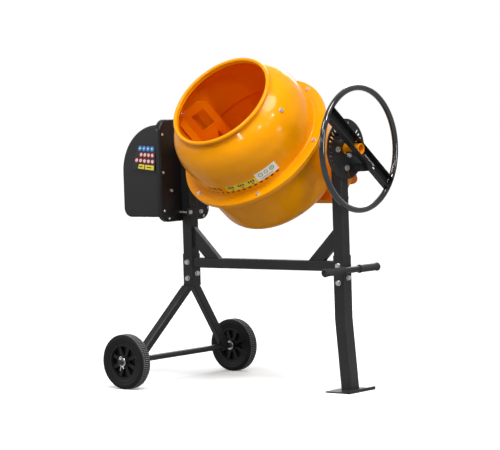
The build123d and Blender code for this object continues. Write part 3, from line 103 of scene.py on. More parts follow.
bpy.context.scene.collection.objects.link(floor)

world = bpy.data.worlds.new("studio")
world.use_nodes = True
sky_nodes = world.node_tree.nodes
sky_links = world.node_tree.links
room = sky_nodes["Background"]
room.inputs["Color"].default_value = (1.0, 1.0, 1.0, 1)
around = sky_nodes.new("ShaderNodeTexCoord")
facing = sky_nodes.new("ShaderNodeVectorMath")
facing.operation = "DOT_PRODUCT"
facing.inputs[1].default_value = (-0.62, 0.75, 0.22)
wall = sky_nodes.new("ShaderNodeMapRange")
wall.inputs["From Min"].default_value = -0.2
wall.inputs["To Min"].default_value = 0.17
wall.inputs["To Max"].default_value = 0.8
sky_links.new(around.outputs["Generated"], facing.inputs[0])
sky_links.new(facing.outputs["Value"], wall.inputs["Value"])
sky_links.new(wall.outputs["Result"], room.inputs["Strength"])
backdrop = sky_nodes.new("ShaderNodeBackground")
backdrop.inputs["Color"].default_value = (1.0, 1.0, 1.0, 1)
backdrop.inputs["Strength"].default_value = 1.0
seen = sky_nodes.new("ShaderNodeLightPath")
either = sky_nodes.new("ShaderNodeMixShader")
sky_links.new(seen.outputs["Is Camera Ray"], either.inputs[0])
sky_links.new(room.outputs[0], either.inputs[1])
sky_links.new(backdrop.outputs[0], either.inputs[2])
sky_links.new(either.outputs[0], sky_nodes["World Output"].inputs[0])
bpy.context.scene.world = world


def soft_box(name, place, size, watts):
    """A square lamp that faces the drum."""
    lamp = bpy.data.lights.new(name, "AREA")
    lamp.size = size
    lamp.energy = watts
    made = bpy.data.objects.new(name, lamp)
    made.location = place
    made.rotation_euler = (Vector((0, 0, 0.7)) - Vector(place)).to_track_quat("-Z", "Y").to_euler()
    bpy.context.scene.collection.objects.link(made)


soft_box("key_box", (2.9, -1.2, 3.1), 0.3, 27)
soft_box("second_box", (2.4, -2.6, 2.5), 0.22, 12)
soft_box("front_box", (1.2, -4.6, 2.3), 0.24, 9)
soft_box("mouth_box", (0.2, -2.1, 2.6), 0.7, 28)
soft_box("left_box", (-3.0, -2.6, 1.6), 0.9, 16)
soft_box("right_box", (3.8, 0.4, 1.1), 0.8, 22)
soft_box("back_box", (-1.6, 3.4, 3.0), 2.0, 60)
glints = [(3.5, -1.9, 2.5), (2.1, -1.6, 3.5), (3.7, -3.3, 1.8), (2.3, -3.8, 3.0)]
for number, place in enumerate(glints):
    soft_box(f"glint_{number}", place, 0.13, 4)
sky = bpy.data.lights.new("overhead", "SUN")
sky.energy = 2.1
sky.angle = radians(24)
overhead = bpy.data.objects.new("overhead", sky)
overhead.rotation_euler = Vector((0.75, -0.45, 1.7)).to_track_quat("Z", "Y").to_euler()
bpy.context.scene.collection.objects.link(overhead)


# ---- Stand: posts, sleeves, beam, braces, axle legs and foot ----
# Welded square steel tube in black powder coat, with the faint pebble that powder
# leaves and a little road dust low down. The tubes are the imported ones.
class Value:
    """One output in a material, so that a pattern can be written as a sum."""

    def __init__(self, tree, socket=None):
        self.tree = tree
        self.socket = socket

    def node(self, kind, settings=None, sockets=None, output=0):
        """Adds a node: its settings first, then the numbers or links of its sockets."""
        made = self.tree.nodes.new(kind)
        for name, value in (settings or {}).items():
            if name == "stops":
                ramp = made.color_ramp.elements
                for spot, colour in value[2:]:
                    ramp.new(spot).color = colour
                for stop, (spot, colour) in zip((ramp[0], ramp[-1]), value[:2]):
                    stop.position = spot
                    stop.color = colour
            else:
                setattr(made, name, value)
        for name, value in (sockets or {}).items():
            if isinstance(value, Value):
                self.tree.links.new(value.socket, made.inputs[name])
            else:
                made.inputs[name].default_value = value
        return Value(self.tree, made.outputs[output])

    def maths(self, operation, *others):
        return self.node("ShaderNodeMath", {"operation": operation}, dict(enumerate((self, *others))))

    def vector(self, operation, other, output=0):
        """Vector Math on these three numbers and another three."""
        return self.node("ShaderNodeVectorMath", {"operation": operation}, {0: self, 1: other}, output)

    def __add__(self, other):
        return self.maths("ADD", other)

    def __mul__(self, other):
        return self.maths("MULTIPLY", other)

    def __sub__(self, other):
        return self.maths("SUBTRACT", other)

    def __truediv__(self, other):
        return self.maths("DIVIDE", other)

    def __gt__(self, other):
        return self.maths("GREATER_THAN", other)

    def __lt__(self, other):
        return self.maths("LESS_THAN", other)

    def __rsub__(self, other):
        return self.maths("MULTIPLY", -1.0) + other

    __radd__ = __add__
    __rmul__ = __mul__

    def tint(self, low, high):
        """Colour that goes from low to high as this value goes from 0 to 1."""
        return self.node("ShaderNodeMix", {"data_type": "RGBA"},
                         {0: self, 6: low if isinstance(low, Value) else (*low, 1),
                          7: high if isinstance(high, Value) else (*high, 1)}, 2)

    def cloud(self, scale, detail=3.0, stretch=(1, 1, 1)):
        """Soft noise over these coordinates, from 0 to 1."""
        where = self.node("ShaderNodeMapping", {}, {"Vector": self, "Scale": stretch})
        return self.node("ShaderNodeTexNoise", {}, {"Vector": where, "Scale": scale, "Detail": detail})

    def bump(self, depth, strength=1.0, under=None):
        """Surface tilt from this height, on top of another tilt."""
        sockets = {"Height": self, "Distance": depth, "Strength": strength}
        if under:
            sockets["Normal"] = under
        return self.node("ShaderNodeBump", {}, sockets)

    def part(self, axis):
        """One of the three numbers of these coordinates."""
        return self.node("ShaderNodeSeparateXYZ", {}, {0: self}, axis)


class Finish:
    """A material: what is the same all over goes on the shader, and what varies is linked."""

    def __init__(self, name, **constants):
        self.material = bpy.data.materials.new(name)
        self.material.use_nodes = True
        self.shader = self.material.node_tree.nodes["Principled BSDF"]
        for key, value in constants.items():
            self.shader.inputs[key.replace("_", " ")].default_value = value
        self.start = Value(self.material.node_tree)
        self.place = self.start.node("ShaderNodeTexCoord", output="Object")

    def link(self, **varying):
        for key, value in varying.items():
            self.material.node_tree.links.new(value.socket, self.shader.inputs[key.replace("_", " ")])
        return self.material


def powder_coat(name, grey, roughness, dust=0.0):
    """Black powder coat: fine pebble, uneven gloss, and dust that thins out upwards."""
    finish = Finish(name, Specular_IOR_Level=0.5)
    place = finish.place
    patch = place.cloud(7.0, 4.0)
    pebble = place.cloud(700.0, 2.0)
    rub = place.cloud(26.0, 6.0, (1, 1, 0.15))
    low = tuple(c * 0.85 for c in grey)
    colour = (patch * 1.2 - 0.1).tint(low, tuple(c * 1.25 for c in grey))
    if dust:
        height = 1 - place.part(2) * 2.2
        film = (height * (rub * 1.5 - 0.3)).maths("MAXIMUM", 0.0).maths("MINIMUM", 1.0) * dust
        colour = film.tint(colour, (0.22, 0.21, 0.195))
    return finish.link(Base_Color=colour, Roughness=roughness + (patch - 0.5) * 0.16 + (rub - 0.5) * 0.1,
                       Normal=pebble.bump(0.0003, 0.22))


def dress(material, *names):
    """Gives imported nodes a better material."""
    for name in names:
        for place in frame["nodes"][name].material_slots:
            place.material = material


stand_coat = powder_coat("stand_powder_coat", (0.011, 0.0112, 0.0116), 0.4, 0.06)
dress(stand_coat, "left_post", "right_post", "left_socket", "right_leg", "foot_plate", "cross_beam",
      "gusset_braces", "front_axle_leg", "rear_axle_leg", "transport_handle", "left_bearing_sleeve",
      "right_bearing_sleeve", "strap_clamp", "motor_bracket")

# ---- Axle ----
# Turned steel bar between the two road wheels, painted with the stand.
# Its thin ends, where the wheels run on them, are painted too.
axle_paint = powder_coat("axle_paint", (0.013, 0.013, 0.0135), 0.36, 0.1)
dress(axle_paint, "axle")


# ---- Frame bolts, disc bolts, clamp bolts, drum bolts, screws and nuts ----
# Zinc-plated steel hexagon bolts and pan-head screws, bright with a cool blue cast
# and a rainbow patch here and there from the plating bath.
def zinc(name, roughness):
    finish = Finish(name, Metallic=0.8)
    place = finish.place
    spangle = place.node("ShaderNodeTexVoronoi", {}, {"Vector": place, "Scale": 260.0}, "Color").part(0)
    tone = place.cloud(55.0, 3.0)
    warm = (tone - 0.45) * 3.0
    colour = (spangle * 0.5).tint((0.78, 0.79, 0.81), (0.92, 0.92, 0.92))
    colour = (warm.maths("MAXIMUM", 0.0).maths("MINIMUM", 0.25)).tint(colour, (0.78, 0.74, 0.62))
    grain = place.cloud(1500.0, 2.0)
    return finish.link(Base_Color=colour, Roughness=roughness + (spangle - 0.5) * 0.12,
                       Normal=grain.bump(0.0001, 0.25))


bright_zinc = zinc("bright_zinc", 0.26)
dress(bright_zinc, "frame_bolts", "disc_bolts", "clamp_bolts", "drum_bolts", "housing_screws", "spindle_nuts",
      "pivot_bolt")


# ---- Road wheels: tyres ----
# Solid black rubber, moulded with fine cross ribs between two plain shoulders and a
# thin step round each side wall. Each is stretched over the rim of its wheel centre.
def rubber(name, grey, roughness, chalk, tread=None):
    """Rubber with a chalky bloom; tread is the axle's place and the radius past which the rubber is made
    light grey.
    """
    finish = Finish(name, Specular_IOR_Level=0.3)
    place = finish.place
    bloom = place.cloud(38.0, 5.0)
    skin = place.cloud(900.0, 3.0)
    colour = (bloom * 1.3 - 0.15).tint(grey, tuple(c * chalk for c in grey))
    if tread:
        # The tread's outer lands, past that radius, are tinted light grey; the grooves between them stay
        # dark.
        axle_at, pale_land_radius = tread
        across, above = place.part(0) - axle_at.x, place.part(2) - axle_at.z
        reached = ((across * across + above * above).maths("SQRT") - pale_land_radius) * 900.0
        pale_land_mask = reached.maths("MAXIMUM", 0.0).maths("MINIMUM", 1.0) * (bloom * 0.5 + 0.5)
        colour = pale_land_mask.tint(colour, (0.24, 0.238, 0.235))
    return finish.link(Base_Color=colour, Roughness=roughness + (bloom - 0.5) * 0.2,
                       Normal=skin.bump(0.0004, 0.3))


def piece(name, made, material, body, slot, *nodes, smooth=0.6):
    """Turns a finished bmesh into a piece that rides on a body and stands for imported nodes."""
    bmesh.ops.recalc_face_normals(made, faces=made.faces)
    for face in made.faces:
        face.smooth = True
    for edge in made.edges:
        if len(edge.link_faces) == 2:
            edge.smooth = edge.calc_face_angle(0.0) < smooth
    data = bpy.data.meshes.new(name)
    made.to_mesh(data)
    made.free()
    data.materials.append(material)
    thing = bpy.data.objects.new(name, data)
    bpy.context.scene.collection.objects.link(thing)
    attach(thing, body)
    if nodes:
        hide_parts(*nodes)
    return thing


def turn(made, outline, place, steps, closed=True):
    """Spins an outline of (radius, height) points about local Z, then moves it to its place."""
    points = [made.verts.new((r, 0, z)) for r, z in outline]
    runs = list(zip(points, points[1:]))
    if closed:
        runs.append((points[-1], points[0]))
    edges = [made.edges.new(run) for run in runs]
    bmesh.ops.spin(made, geom=points + edges, cent=(0, 0, 0), axis=(0, 0, 1), angle=tau, steps=steps,
                   use_merge=True)
    bmesh.ops.remove_doubles(made, verts=made.verts, dist=1e-7)
    made.transform(place)


def middle(node):
    low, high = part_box(node)
    return (low + high) / 2


tyre_low, tyre_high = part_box("front_tyre")
tread_reach = (tyre_high.z - tyre_low.z) / 2 - 0.0012
tyre_rubber = rubber("tyre_rubber", (0.004, 0.004, 0.0042), 0.5, 1.8, (middle("front_tyre"), tread_reach))
tread_ribs = 88
rib_depth = 0.0017
for body, side in (("front_wheel", -1), ("rear_wheel", 1)):
    node = "front_tyre" if side < 0 else "rear_tyre"
    low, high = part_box(node)
    reach, half = (high.z - low.z) / 2, (high.y - low.y) / 2
    rim = reach - 0.034
    wall = [(rim, half - 0.0042), (rim + 0.003, half - 0.0022), (rim + 0.008, half - 0.0012),
            (reach - 0.0165, half - 0.0008), (reach - 0.0155, half - 0.0002), (reach - 0.0142, half),
            (reach - 0.0128, half - 0.0002), (reach - 0.0118, half - 0.0009),
            (reach - 0.0065, half - 0.001), (reach - 0.0028, half - 0.0024),
            (reach - 0.0009, half - 0.0052)]
    tread = [(reach, half - 0.0085), (reach, half * 0.36), (reach - 0.0016, half * 0.34),
             (reach - 0.0016, half * 0.26), (reach, half * 0.24), (reach, 0)]
    one_side = wall + tread
    outline = one_side + [(r, -z) for r, z in reversed(one_side[:-1])]
    tyre = bmesh.new()
    turn(tyre, outline, Matrix.Identity(4), 4 * tread_ribs)
    for vertex in tyre.verts:
        radius = vertex.co.xy.length
        step = round(atan2(vertex.co.y, vertex.co.x) * 2 * tread_ribs / pi) % 4
        if radius > reach - 0.0005 and step > 1:
            vertex.co.xy *= (reach - rib_depth) / radius
    tyre.transform(Matrix.Translation(middle(node)) @ Matrix.Rotation(pi / 2, 4, "X"))
    piece(node + "_moulded", tyre, tyre_rubber, body, "tyre_rubber", node, smooth=0.5)


# ---- Road wheels: wheel centres, capacitor, inlet and switch box ----
# Injection-moulded black polypropylene with a fine spark-eroded grain.
# The wheel centre has a wedge pocket between each pair of ribs and a plain bore for the axle.
def moulded(name, grey, roughness, grain):
    finish = Finish(name, Specular_IOR_Level=0.38)
    place = finish.place
    flow = place.cloud(11.0, 3.0, (1, 1, 0.4))
    spark = place.cloud(grain, 3.0)
    colour = (flow * 1.1 - 0.05).tint(tuple(c * 0.85 for c in grey), tuple(c * 1.2 for c in grey))
    return finish.link(Base_Color=colour, Roughness=roughness + (flow - 0.5) * 0.12 + (spark - 0.5) * 0.08,
                       Normal=spark.bump(0.00025, 0.25))


hub_plastic = moulded("hub_plastic", (0.007, 0.007, 0.0074), 0.42, 1100.0)
dress(hub_plastic, "front_hub", "rear_hub", "power_inlet", "switch_body", "capacitor")

# ---- Road wheels: washers and split pins ----
# A zinc washer bears on each end of a wheel centre, and a split pin of half-round
# wire goes through the axle, its eye on top and its two legs bent apart below.
wire = 0.0019
retainers = bmesh.new()
low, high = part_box("wheel_retainers")
for side in (-1, 1):
    hub = "front_hub" if side < 0 else "rear_hub"
    centre = middle(hub)
    half = (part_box(hub)[1].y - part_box(hub)[0].y) / 2
    for face in (-half - 0.0013, half + 0.0013):
        washer = bmesh.new()
        outline = [(0.0104, -0.0009), (0.0168, -0.0009), (0.0172, -0.0005), (0.0172, 0.0005),
                   (0.0168, 0.0009), (0.0104, 0.0009)]
        seat = Matrix.Translation(centre + Vector((0, face, 0))) @ Matrix.Rotation(pi / 2, 4, "X")
        turn(washer, outline, seat, 40)
        held = bpy.data.meshes.new("washer")
        washer.to_mesh(held)
        washer.free()
        retainers.from_mesh(held)
    y = centre.y + side * (half + 0.0066)
    for leg, lean in ((-1, 0.95), (1, -0.28)):
        route = [(0.0, 0.0215), (leg * 0.0042, 0.0196), (leg * 0.0048, 0.0162), (leg * 0.0012, 0.0125),
                 (leg * 0.0012, -0.0115)]
        route += [(leg * 0.0012 + sin(lean) * k, -0.0115 - cos(lean) * k) for k in (0.004, 0.019)]
        round_end = bmesh.ops.create_circle(retainers, cap_ends=True, segments=10, radius=wire)["verts"]
        ring = list({e for v in round_end for e in v.link_edges})
        start = Vector((centre.x + route[0][0], y, centre.z + route[0][1]))
        bmesh.ops.rotate(retainers, verts=round_end, cent=(0, 0, 0), matrix=Matrix.Rotation(pi / 2, 3, "Y"))
        bmesh.ops.translate(retainers, verts=round_end, vec=start)
        for (x0, z0), (x1, z1), ahead in zip(route, route[1:], route[2:] + [None]):
            grown = bmesh.ops.extrude_edge_only(retainers, edges=ring)["geom"]
            verts = [g for g in grown if isinstance(g, bmesh.types.BMVert)]
            ring = [g for g in grown if isinstance(g, bmesh.types.BMEdge)]
            bmesh.ops.translate(retainers, verts=verts, vec=(x1 - x0, 0, z1 - z0))
            way = Vector((x1 - x0, 0, z1 - z0)).normalized()
            if ahead:
                way = (way + Vector((ahead[0] - x1, 0, ahead[1] - z1)).normalized()).normalized()
            normal = (verts[1].co - verts[0].co).cross(verts[4].co - verts[0].co).normalized()
            tip = normal.rotation_difference(way if normal.dot(way) > 0 else -way).to_matrix()
            bmesh.ops.rotate(retainers, verts=verts, cent=(centre.x + x1, y, centre.z + z1), matrix=tip)
        bmesh.ops.contextual_create(retainers, geom=ring)
piece("split_pins_and_washers", retainers, bright_zinc, "root", "zinc", "wheel_retainers")


# ---- Stand: weld beads ----
# The beam, the braces and the foot plate are welded on before the stand is coated. Each
# weld is a row of overlapping scallops, about twice as wide as the tube's wall is thick.
def bead(made, start, end, radius=0.0022):
    """Straight weld from start to end, swelling a little at every scallop."""
    run = end - start
    steps = max(6, int(run.length / 0.0011))
    spun = run.normalized().to_track_quat("Z", "Y").to_matrix()
    ring = bmesh.ops.create_circle(made, cap_ends=True, segments=8, radius=radius * 0.5)["verts"]
    bmesh.ops.rotate(made, verts=ring, cent=(0, 0, 0), matrix=spun)
    bmesh.ops.translate(made, verts=ring, vec=start)
    edges = list({e for v in ring for e in v.link_edges})
    size = 0.5
    for step in range(1, steps + 1):
        grown = bmesh.ops.extrude_edge_only(made, edges=edges)["geom"]
        verts = [g for g in grown if isinstance(g, bmesh.types.BMVert)]
        edges = [g for g in grown if isinstance(g, bmesh.types.BMEdge)]
        target = 0.5 if step == steps else 0.86 + 0.14 * cos(step * tau / 3)
        bmesh.ops.translate(made, verts=verts, vec=run / steps)
        centre = start + run * step / steps
        bmesh.ops.scale(made, verts=verts, vec=(target / size,) * 3, space=Matrix.Translation(-centre))
        size = target
    bmesh.ops.contextual_create(made, geom=edges)


def corners_near(node, axis, value):
    """Lowest and highest corner of what a node has on one plane."""
    found = [v.co for v in frame["nodes"][node].data.vertices if abs(v.co[axis] - value) < 0.0006]
    return [Vector([pick(c[k] for c in found) for k in range(3)]) for pick in (min, max)]


welds = bmesh.new()
tube_corner = 0.003
leg_corner = 0.004
for node in ("cross_beam", "gusset_braces"):
    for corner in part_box(node):
        plane = corner.x
        low, high = corners_near(node, 0, plane)
        for y in (low.y, high.y):
            bead(welds, Vector((plane, y, low.z + tube_corner)), Vector((plane, y, high.z - tube_corner)))
        near_end = Vector((plane, low.y + tube_corner, high.z))
        bead(welds, near_end, Vector((plane, high.y - tube_corner, high.z)))
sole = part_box("right_leg")[0].z
low, high = corners_near("right_leg", 2, sole)
for y in (low.y, high.y):
    bead(welds, Vector((low.x + leg_corner, y, sole)), Vector((high.x - leg_corner, y, sole)))
for x in (low.x, high.x):
    bead(welds, Vector((x, low.y + leg_corner, sole)), Vector((x, high.y - leg_corner, sole)))
piece("weld_beads", welds, stand_coat, "root", "frame_paint", smooth=0.9)

# ---- Transport handle: rubber grips ----
# Dipped black rubber sleeves pushed over the tube, with a bead at the open end,
# a rounded closed end and rows of small dimples between them.
grip_finish = Finish("dimpled_grip", Specular_IOR_Level=0.35)
grip_low, grip_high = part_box("handle_grips")
grip_middle = (grip_low + grip_high) / 2
spot = grip_finish.place
round_the_tube = (spot.part(0) - grip_middle.x).maths("ARCTAN2", spot.part(2) - grip_middle.z)
rows = round_the_tube * (11 / tau)
along = spot.part(1) * 120.0
shifted = along + rows.maths("FLOOR").maths("MODULO", 2.0) * 0.5
du, dv = rows.maths("FRACT") - 0.5, shifted.maths("FRACT") - 0.5
dimple = (du * du + dv * dv).maths("SQRT").maths("SMOOTH_MIN", 0.34, 0.08)
worn = spot.cloud(60.0, 4.0)
# Painted shade: the colour darkens towards each dimple's middle, as shade in the hollows, and is lighter on
# the lands between.
dimple_shade_colour = ((dimple - 0.12) * 4.5).maths("MAXIMUM", 0.0).tint((0.001, 0.001, 0.001), (0.03, 0.03, 0.031))
grip_rubber = grip_finish.link(Base_Color=(worn * 0.5).tint(dimple_shade_colour, (0.014, 0.014, 0.0145)),
                               Roughness=0.5 + (worn - 0.5) * 0.2, Normal=dimple.bump(0.006, 1.0))
grips = bmesh.new()
radius = (grip_high.z - grip_low.z) / 2
handle_half = (grip_high.y - grip_low.y) / 2
tube_r = 0.01105
grip_length = 0.112
for side in (-1, 1):
    sleeve = bmesh.new()
    outline = [(tube_r, 0.0), (radius - 0.0015, 0.0), (radius, 0.0015), (radius, 0.0045),
               (radius - 0.0018, 0.0065), (radius - 0.0018, grip_length - 0.012),
               (radius - 0.0012, grip_length - 0.0095), (radius, grip_length - 0.008),
               (radius, grip_length - 0.004), (radius - 0.002, grip_length - 0.001),
               (radius - 0.005, grip_length), (0.0082, grip_length), (0.0078, grip_length - 0.0028),
               (0.0, grip_length - 0.0028), (0.0, grip_length - 0.0038), (tube_r, grip_length - 0.0038)]
    open_end = middle("transport_handle").y + side * (handle_half - grip_length)
    start = Vector((grip_middle.x, open_end, grip_middle.z))
    turn(sleeve, outline, Matrix.Translation(start) @ Matrix.Rotation(-side * pi / 2, 4, "X"), 48)
    held = bpy.data.meshes.new("sleeve")
    sleeve.to_mesh(held)
    sleeve.free()
    grips.from_mesh(held)
piece("handle_grips_dimpled", grips, grip_rubber, "root", "grip_rubber", "handle_grips")

# ---- Lock disc ----
# Laser-cut steel plate with radial slots, powder coated like the stand but smoother.
disc_coat = powder_coat("disc_powder_coat", (0.012, 0.012, 0.0126), 0.36)
dress(disc_coat, "lock_disc")

# ---- Handwheel: rim, spoke and lock tongue ----
# A bent steel tube ring in glossy dark grey stoving paint, and a folded channel
# across it in satin black.
rim_finish = Finish("rim_gloss_paint", Specular_IOR_Level=0.6, Coat_Roughness=0.06)
place = rim_finish.place
run = place.cloud(9.0, 4.0)
peel = place.cloud(420.0, 2.0)
rim_grey = (run * 1.2 - 0.1).tint((0.012, 0.0123, 0.0132), (0.02, 0.0205, 0.022))
rim_gloss = rim_finish.link(Base_Color=rim_grey, Roughness=0.14 + (run - 0.5) * 0.1,
                            Coat_Weight=0.5 + run * 0.4, Normal=peel.bump(0.0003, 0.12))
dress(rim_gloss, "handwheel_rim")
spoke_coat = powder_coat("spoke_powder_coat", (0.009, 0.009, 0.0095), 0.4)
dress(spoke_coat, "handwheel_spoke", "lock_tongue")

# ---- Handwheel: return spring ----
# Wound steel wire with its hooks straight, lying in the channel of the spoke, and
# oiled. It pulls the tongue into the disc.
joints = {joint["name"]: joint for joint in frame["joints"]}
rock = joints["handwheel_rock"]
spoke_way = Vector((1, 0, 0)).cross(Vector(rock["axis"])).normalized()
spring_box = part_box("lock_spring")
spring_middle = middle("lock_spring")
spring_r = (spring_box[1].x - spring_box[0].x) / 2
spread = spring_box[1] - spring_box[0]
spring_length = (spread.z - 2 * spring_r * abs(spoke_way.y)) / abs(spoke_way.z)
turns = 24
spring_steps = turns * 14
spring_wire_r = 0.0008
spring = bmesh.new()
wire_ring = bmesh.ops.create_circle(spring, cap_ends=True, segments=8, radius=spring_wire_r)["verts"]
bmesh.ops.rotate(spring, verts=wire_ring, cent=(0, 0, 0), matrix=Matrix.Rotation(pi / 2, 3, "X"))
bmesh.ops.translate(spring, verts=wire_ring, vec=(spring_r - spring_wire_r, 0, -spring_length / 2))
bmesh.ops.spin(spring, geom=list(spring.faces), cent=(0, 0, 0), axis=(0, 0, 1), angle=tau * turns,
               dvec=(0, 0, spring_length / spring_steps), steps=spring_steps)
spring.transform(Matrix.Translation(spring_middle) @ spoke_way.to_track_quat("Z", "Y").to_matrix().to_4x4())
oiled = Finish("oiled_spring_wire", Metallic=1.0)
film = oiled.place.cloud(120.0, 3.0)
spring_wire = oiled.link(Base_Color=film.tint((0.16, 0.155, 0.15), (0.34, 0.33, 0.32)),
                         Roughness=0.3 + film * 0.15)
piece("lock_spring_wound", spring, spring_wire, "handwheel", "steel", "lock_spring", smooth=1.2)


# ---- Drum: both halves, yoke, journals and blades ----
# Pressed and spun sheet steel in glossy orange-yellow enamel. The sheet keeps a slow
# ripple from the press, and the enamel has a fine orange peel and a few dust nibs.
bead_height = 0.271


def enamel(name, light, deep, roughness, ripple, coat, inner=None):
    """Glossy enamel; inner is a redder colour painted on the drum's inside wall and floor as painted shade,
    for the light bounced round inside the drum.
    """
    finish = Finish(name, Specular_IOR_Level=0.1, Coat_Roughness=0.05)
    place = finish.place
    slow = place.cloud(9.0, 2.5)
    patch = place.cloud(13.0, 5.0)
    peel = place.cloud(330.0, 2.0)
    nib = (place.cloud(210.0, 1.0) - 0.74).maths("MAXIMUM", 0.0) * 4.0
    colour = (patch * 1.3 - 0.15).tint(deep, light)
    if inner:
        turning = joints["drum_spin"]
        axis = turning["axis"]
        arm = place.vector("SUBTRACT", turning["pos_m"])
        from_axis = arm.vector("SUBTRACT", arm.vector("PROJECT", axis))
        facing = finish.start.node("ShaderNodeTexCoord", output="Normal")
        outward = from_axis.vector("DOT_PRODUCT", facing, "Value")
        upward = facing.vector("DOT_PRODUCT", axis, "Value")
        height = arm.vector("DOT_PRODUCT", axis, "Value")
        # Painted shade: the inside wall and floor take the redder inner colour in place of the light that
        # bounces round inside the drum.
        wall = (outward < -0.02) * (height < bead_height)
        bottom = (upward > 0.3) * (height < 0.0)
        colour = (wall + bottom).maths("MINIMUM", 1.0).tint(colour, inner)
    tilt = (slow * 1.0).bump(ripple, 0.5)
    tilt = (peel + nib).bump(0.00035, 0.12, tilt)
    return finish.link(Base_Color=colour, Roughness=roughness + (patch - 0.5) * 0.1,
                       Coat_Weight=coat + patch * 0.2, Normal=tilt)


# The last colour is the painted shade of the drum's inside.
drum_enamel = enamel("drum_enamel", (0.88, 0.33, 0.0005), (0.84, 0.30, 0.0005), 0.24, 0.012, 0.12,
                     (0.94, 0.27, 0.0005))
dress(drum_enamel, "drum_upper", "drum_lower")
# The hub cap inside the drum takes this redder enamel as painted shade, standing in for the light bounced
# round inside the drum.
yoke_enamel = enamel("yoke_enamel", (0.88, 0.30, 0.001), (0.82, 0.27, 0.001), 0.3, 0.003, 0.08)
dress(yoke_enamel, "yoke", "left_trunnion", "right_trunnion", "hub_cap")
# Painted shade: the blades, inside the drum, are redder than the drum's outside, standing in for the light
# bounced round inside the drum.
blade_enamel = enamel("blade_enamel", (0.95, 0.29, 0.001), (0.92, 0.26, 0.001), 0.34, 0.002, 0.05)
dress(blade_enamel, "mixing_blades")


# ---- Drum: printed label band ----
# Thin vinyl stuck to the mouth half just above the flange, so it bends with the sheet: a
# yellow scale with bars, a white panel with three green rings and a grey line, and black
# marks and dashes beside and below them.
class Sticker:
    """Vinyl laid on the drum: points are (angle round the axis in degrees, height along it in metres)."""

    def __init__(self, host, turning, lift):
        mesh = frame["nodes"][host].data
        corners = [tuple(v.co) for v in mesh.vertices]
        self.tree = BVHTree.FromPolygons(corners, [tuple(f.vertices) for f in mesh.polygons])
        self.root = Vector(turning["pos_m"])
        self.axis = Vector(turning["axis"])
        self.side = Vector((1, 0, 0))
        self.across = self.axis.cross(self.side)
        self.lift = lift
        self.made = bmesh.new()

    def point(self, angle, height):
        way = self.side * cos(radians(angle)) + self.across * sin(radians(angle))
        hit, normal, _, _ = self.tree.ray_cast(self.root + self.axis * height + way * 0.5, -way)
        normal = normal if normal.dot(way) > 0 else -normal
        return hit + (normal + way * 0.4).normalized() * self.lift

    def panel(self, angles, heights, columns=1, rows=1):
        """Patch between two angles and two heights."""
        grid = []
        for j in range(rows + 1):
            height = heights[0] + (heights[1] - heights[0]) * j / rows
            span = [angles[0] + (angles[1] - angles[0]) * i / columns for i in range(columns + 1)]
            grid.append([self.made.verts.new(self.point(angle, height)) for angle in span])
        for low, high in zip(grid, grid[1:]):
            for i in range(columns):
                self.made.faces.new((low[i], low[i + 1], high[i + 1], high[i]))

    def ring(self, angle, height, outer, inner, pull=1.0):
        """Ring round a spot; pull stretches it along the band."""
        loops = []
        degrees_per_metre = 230
        turns_by = [tau * k / 20 for k in range(20)]
        for radius in (outer, inner):
            wide = pull * radius * degrees_per_metre
            spots = [(angle + wide * cos(t), height + radius * sin(t)) for t in turns_by]
            loops.append([self.made.verts.new(self.point(*spot)) for spot in spots])
        for k in range(20):
            self.made.faces.new((loops[0][k], loops[0][k - 1], loops[1][k - 1], loops[1][k]))

    def stick(self, name, material):
        """Gives the vinyl its thickness and puts it on the drum."""
        bmesh.ops.recalc_face_normals(self.made, faces=self.made.faces)
        outward = sum(f.normal.dot(f.calc_center_median() - self.root) for f in self.made.faces)
        if outward < 0:
            bmesh.ops.reverse_faces(self.made, faces=self.made.faces)
        bmesh.ops.solidify(self.made, geom=self.made.faces, thickness=0.00012)
        return piece(name, self.made, material, "drum", "drum_paint", smooth=0.5)


def vinyl(name, colour, roughness=0.3):
    """Printed vinyl: even ink with a faint mottle under a gloss laminate."""
    finish = Finish(name, Specular_IOR_Level=0.5)
    ink = finish.place.cloud(160.0, 3.0)
    return finish.link(Base_Color=ink.tint(tuple(c * 0.9 for c in colour), colour),
                       Roughness=roughness + ink * 0.1)


black_ink = vinyl("black_ink", (0.012, 0.012, 0.012))
yellow_vinyl = vinyl("yellow_vinyl", (0.80, 0.66, 0.03))
white_vinyl = vinyl("white_vinyl", (0.84, 0.85, 0.83))
green_ink = vinyl("green_ink", (0.10, 0.42, 0.07))
grey_ink = vinyl("grey_ink", (0.30, 0.31, 0.32))
spin = joints["drum_spin"]
under_print = 0.0002
over_print = 0.00045
band = Sticker("drum_upper", spin, under_print)
band.panel((-84, -55), (0.080, 0.108), 14, 2)
band.stick("drum_label_scale", yellow_vinyl)
band = Sticker("drum_upper", spin, under_print)
band.panel((-55, -35), (0.080, 0.120), 10, 3)
band.stick("drum_label_panel", white_vinyl)
marks = Sticker("drum_upper", spin, over_print)
for start in (-82.0, -72.5, -63.0):
    for step in range(3):
        marks.panel((start + step * 2.1, start + step * 2.1 + 1.3), (0.0925, 0.1035), 1, 2)
    marks.panel((start + 2.4, start + 4.0), (0.0835, 0.0875))
for start in (-104.0, -98.5, -92.5):
    marks.panel((start, start + 3.4), (0.0965, 0.1010), 3)
    marks.panel((start + 1.0, start + 4.2), (0.0885, 0.0925), 3)
    marks.panel((start + 1.4, start + 2.6), (0.0925, 0.0965))
for step in range(14):
    marks.panel((-108 + step * 5.3, -105.4 + step * 5.3), (0.0715, 0.0775), 2)
marks.stick("drum_label_marks", black_ink)
leaf = Sticker("drum_upper", spin, over_print)
leaf.ring(-50.5, 0.104, 0.0088, 0.0060)
leaf.ring(-45.3, 0.104, 0.0088, 0.0060, 0.8)
leaf.ring(-39.7, 0.104, 0.0095, 0.0062)
leaf.stick("drum_label_leaf", green_ink)
line = Sticker("drum_upper", spin, over_print)
line.panel((-51.5, -40.5), (0.0855, 0.0880), 8)
line.ring(-39.7, 0.104, 0.0030, 0.0010)
line.stick("drum_label_line", grey_ink)

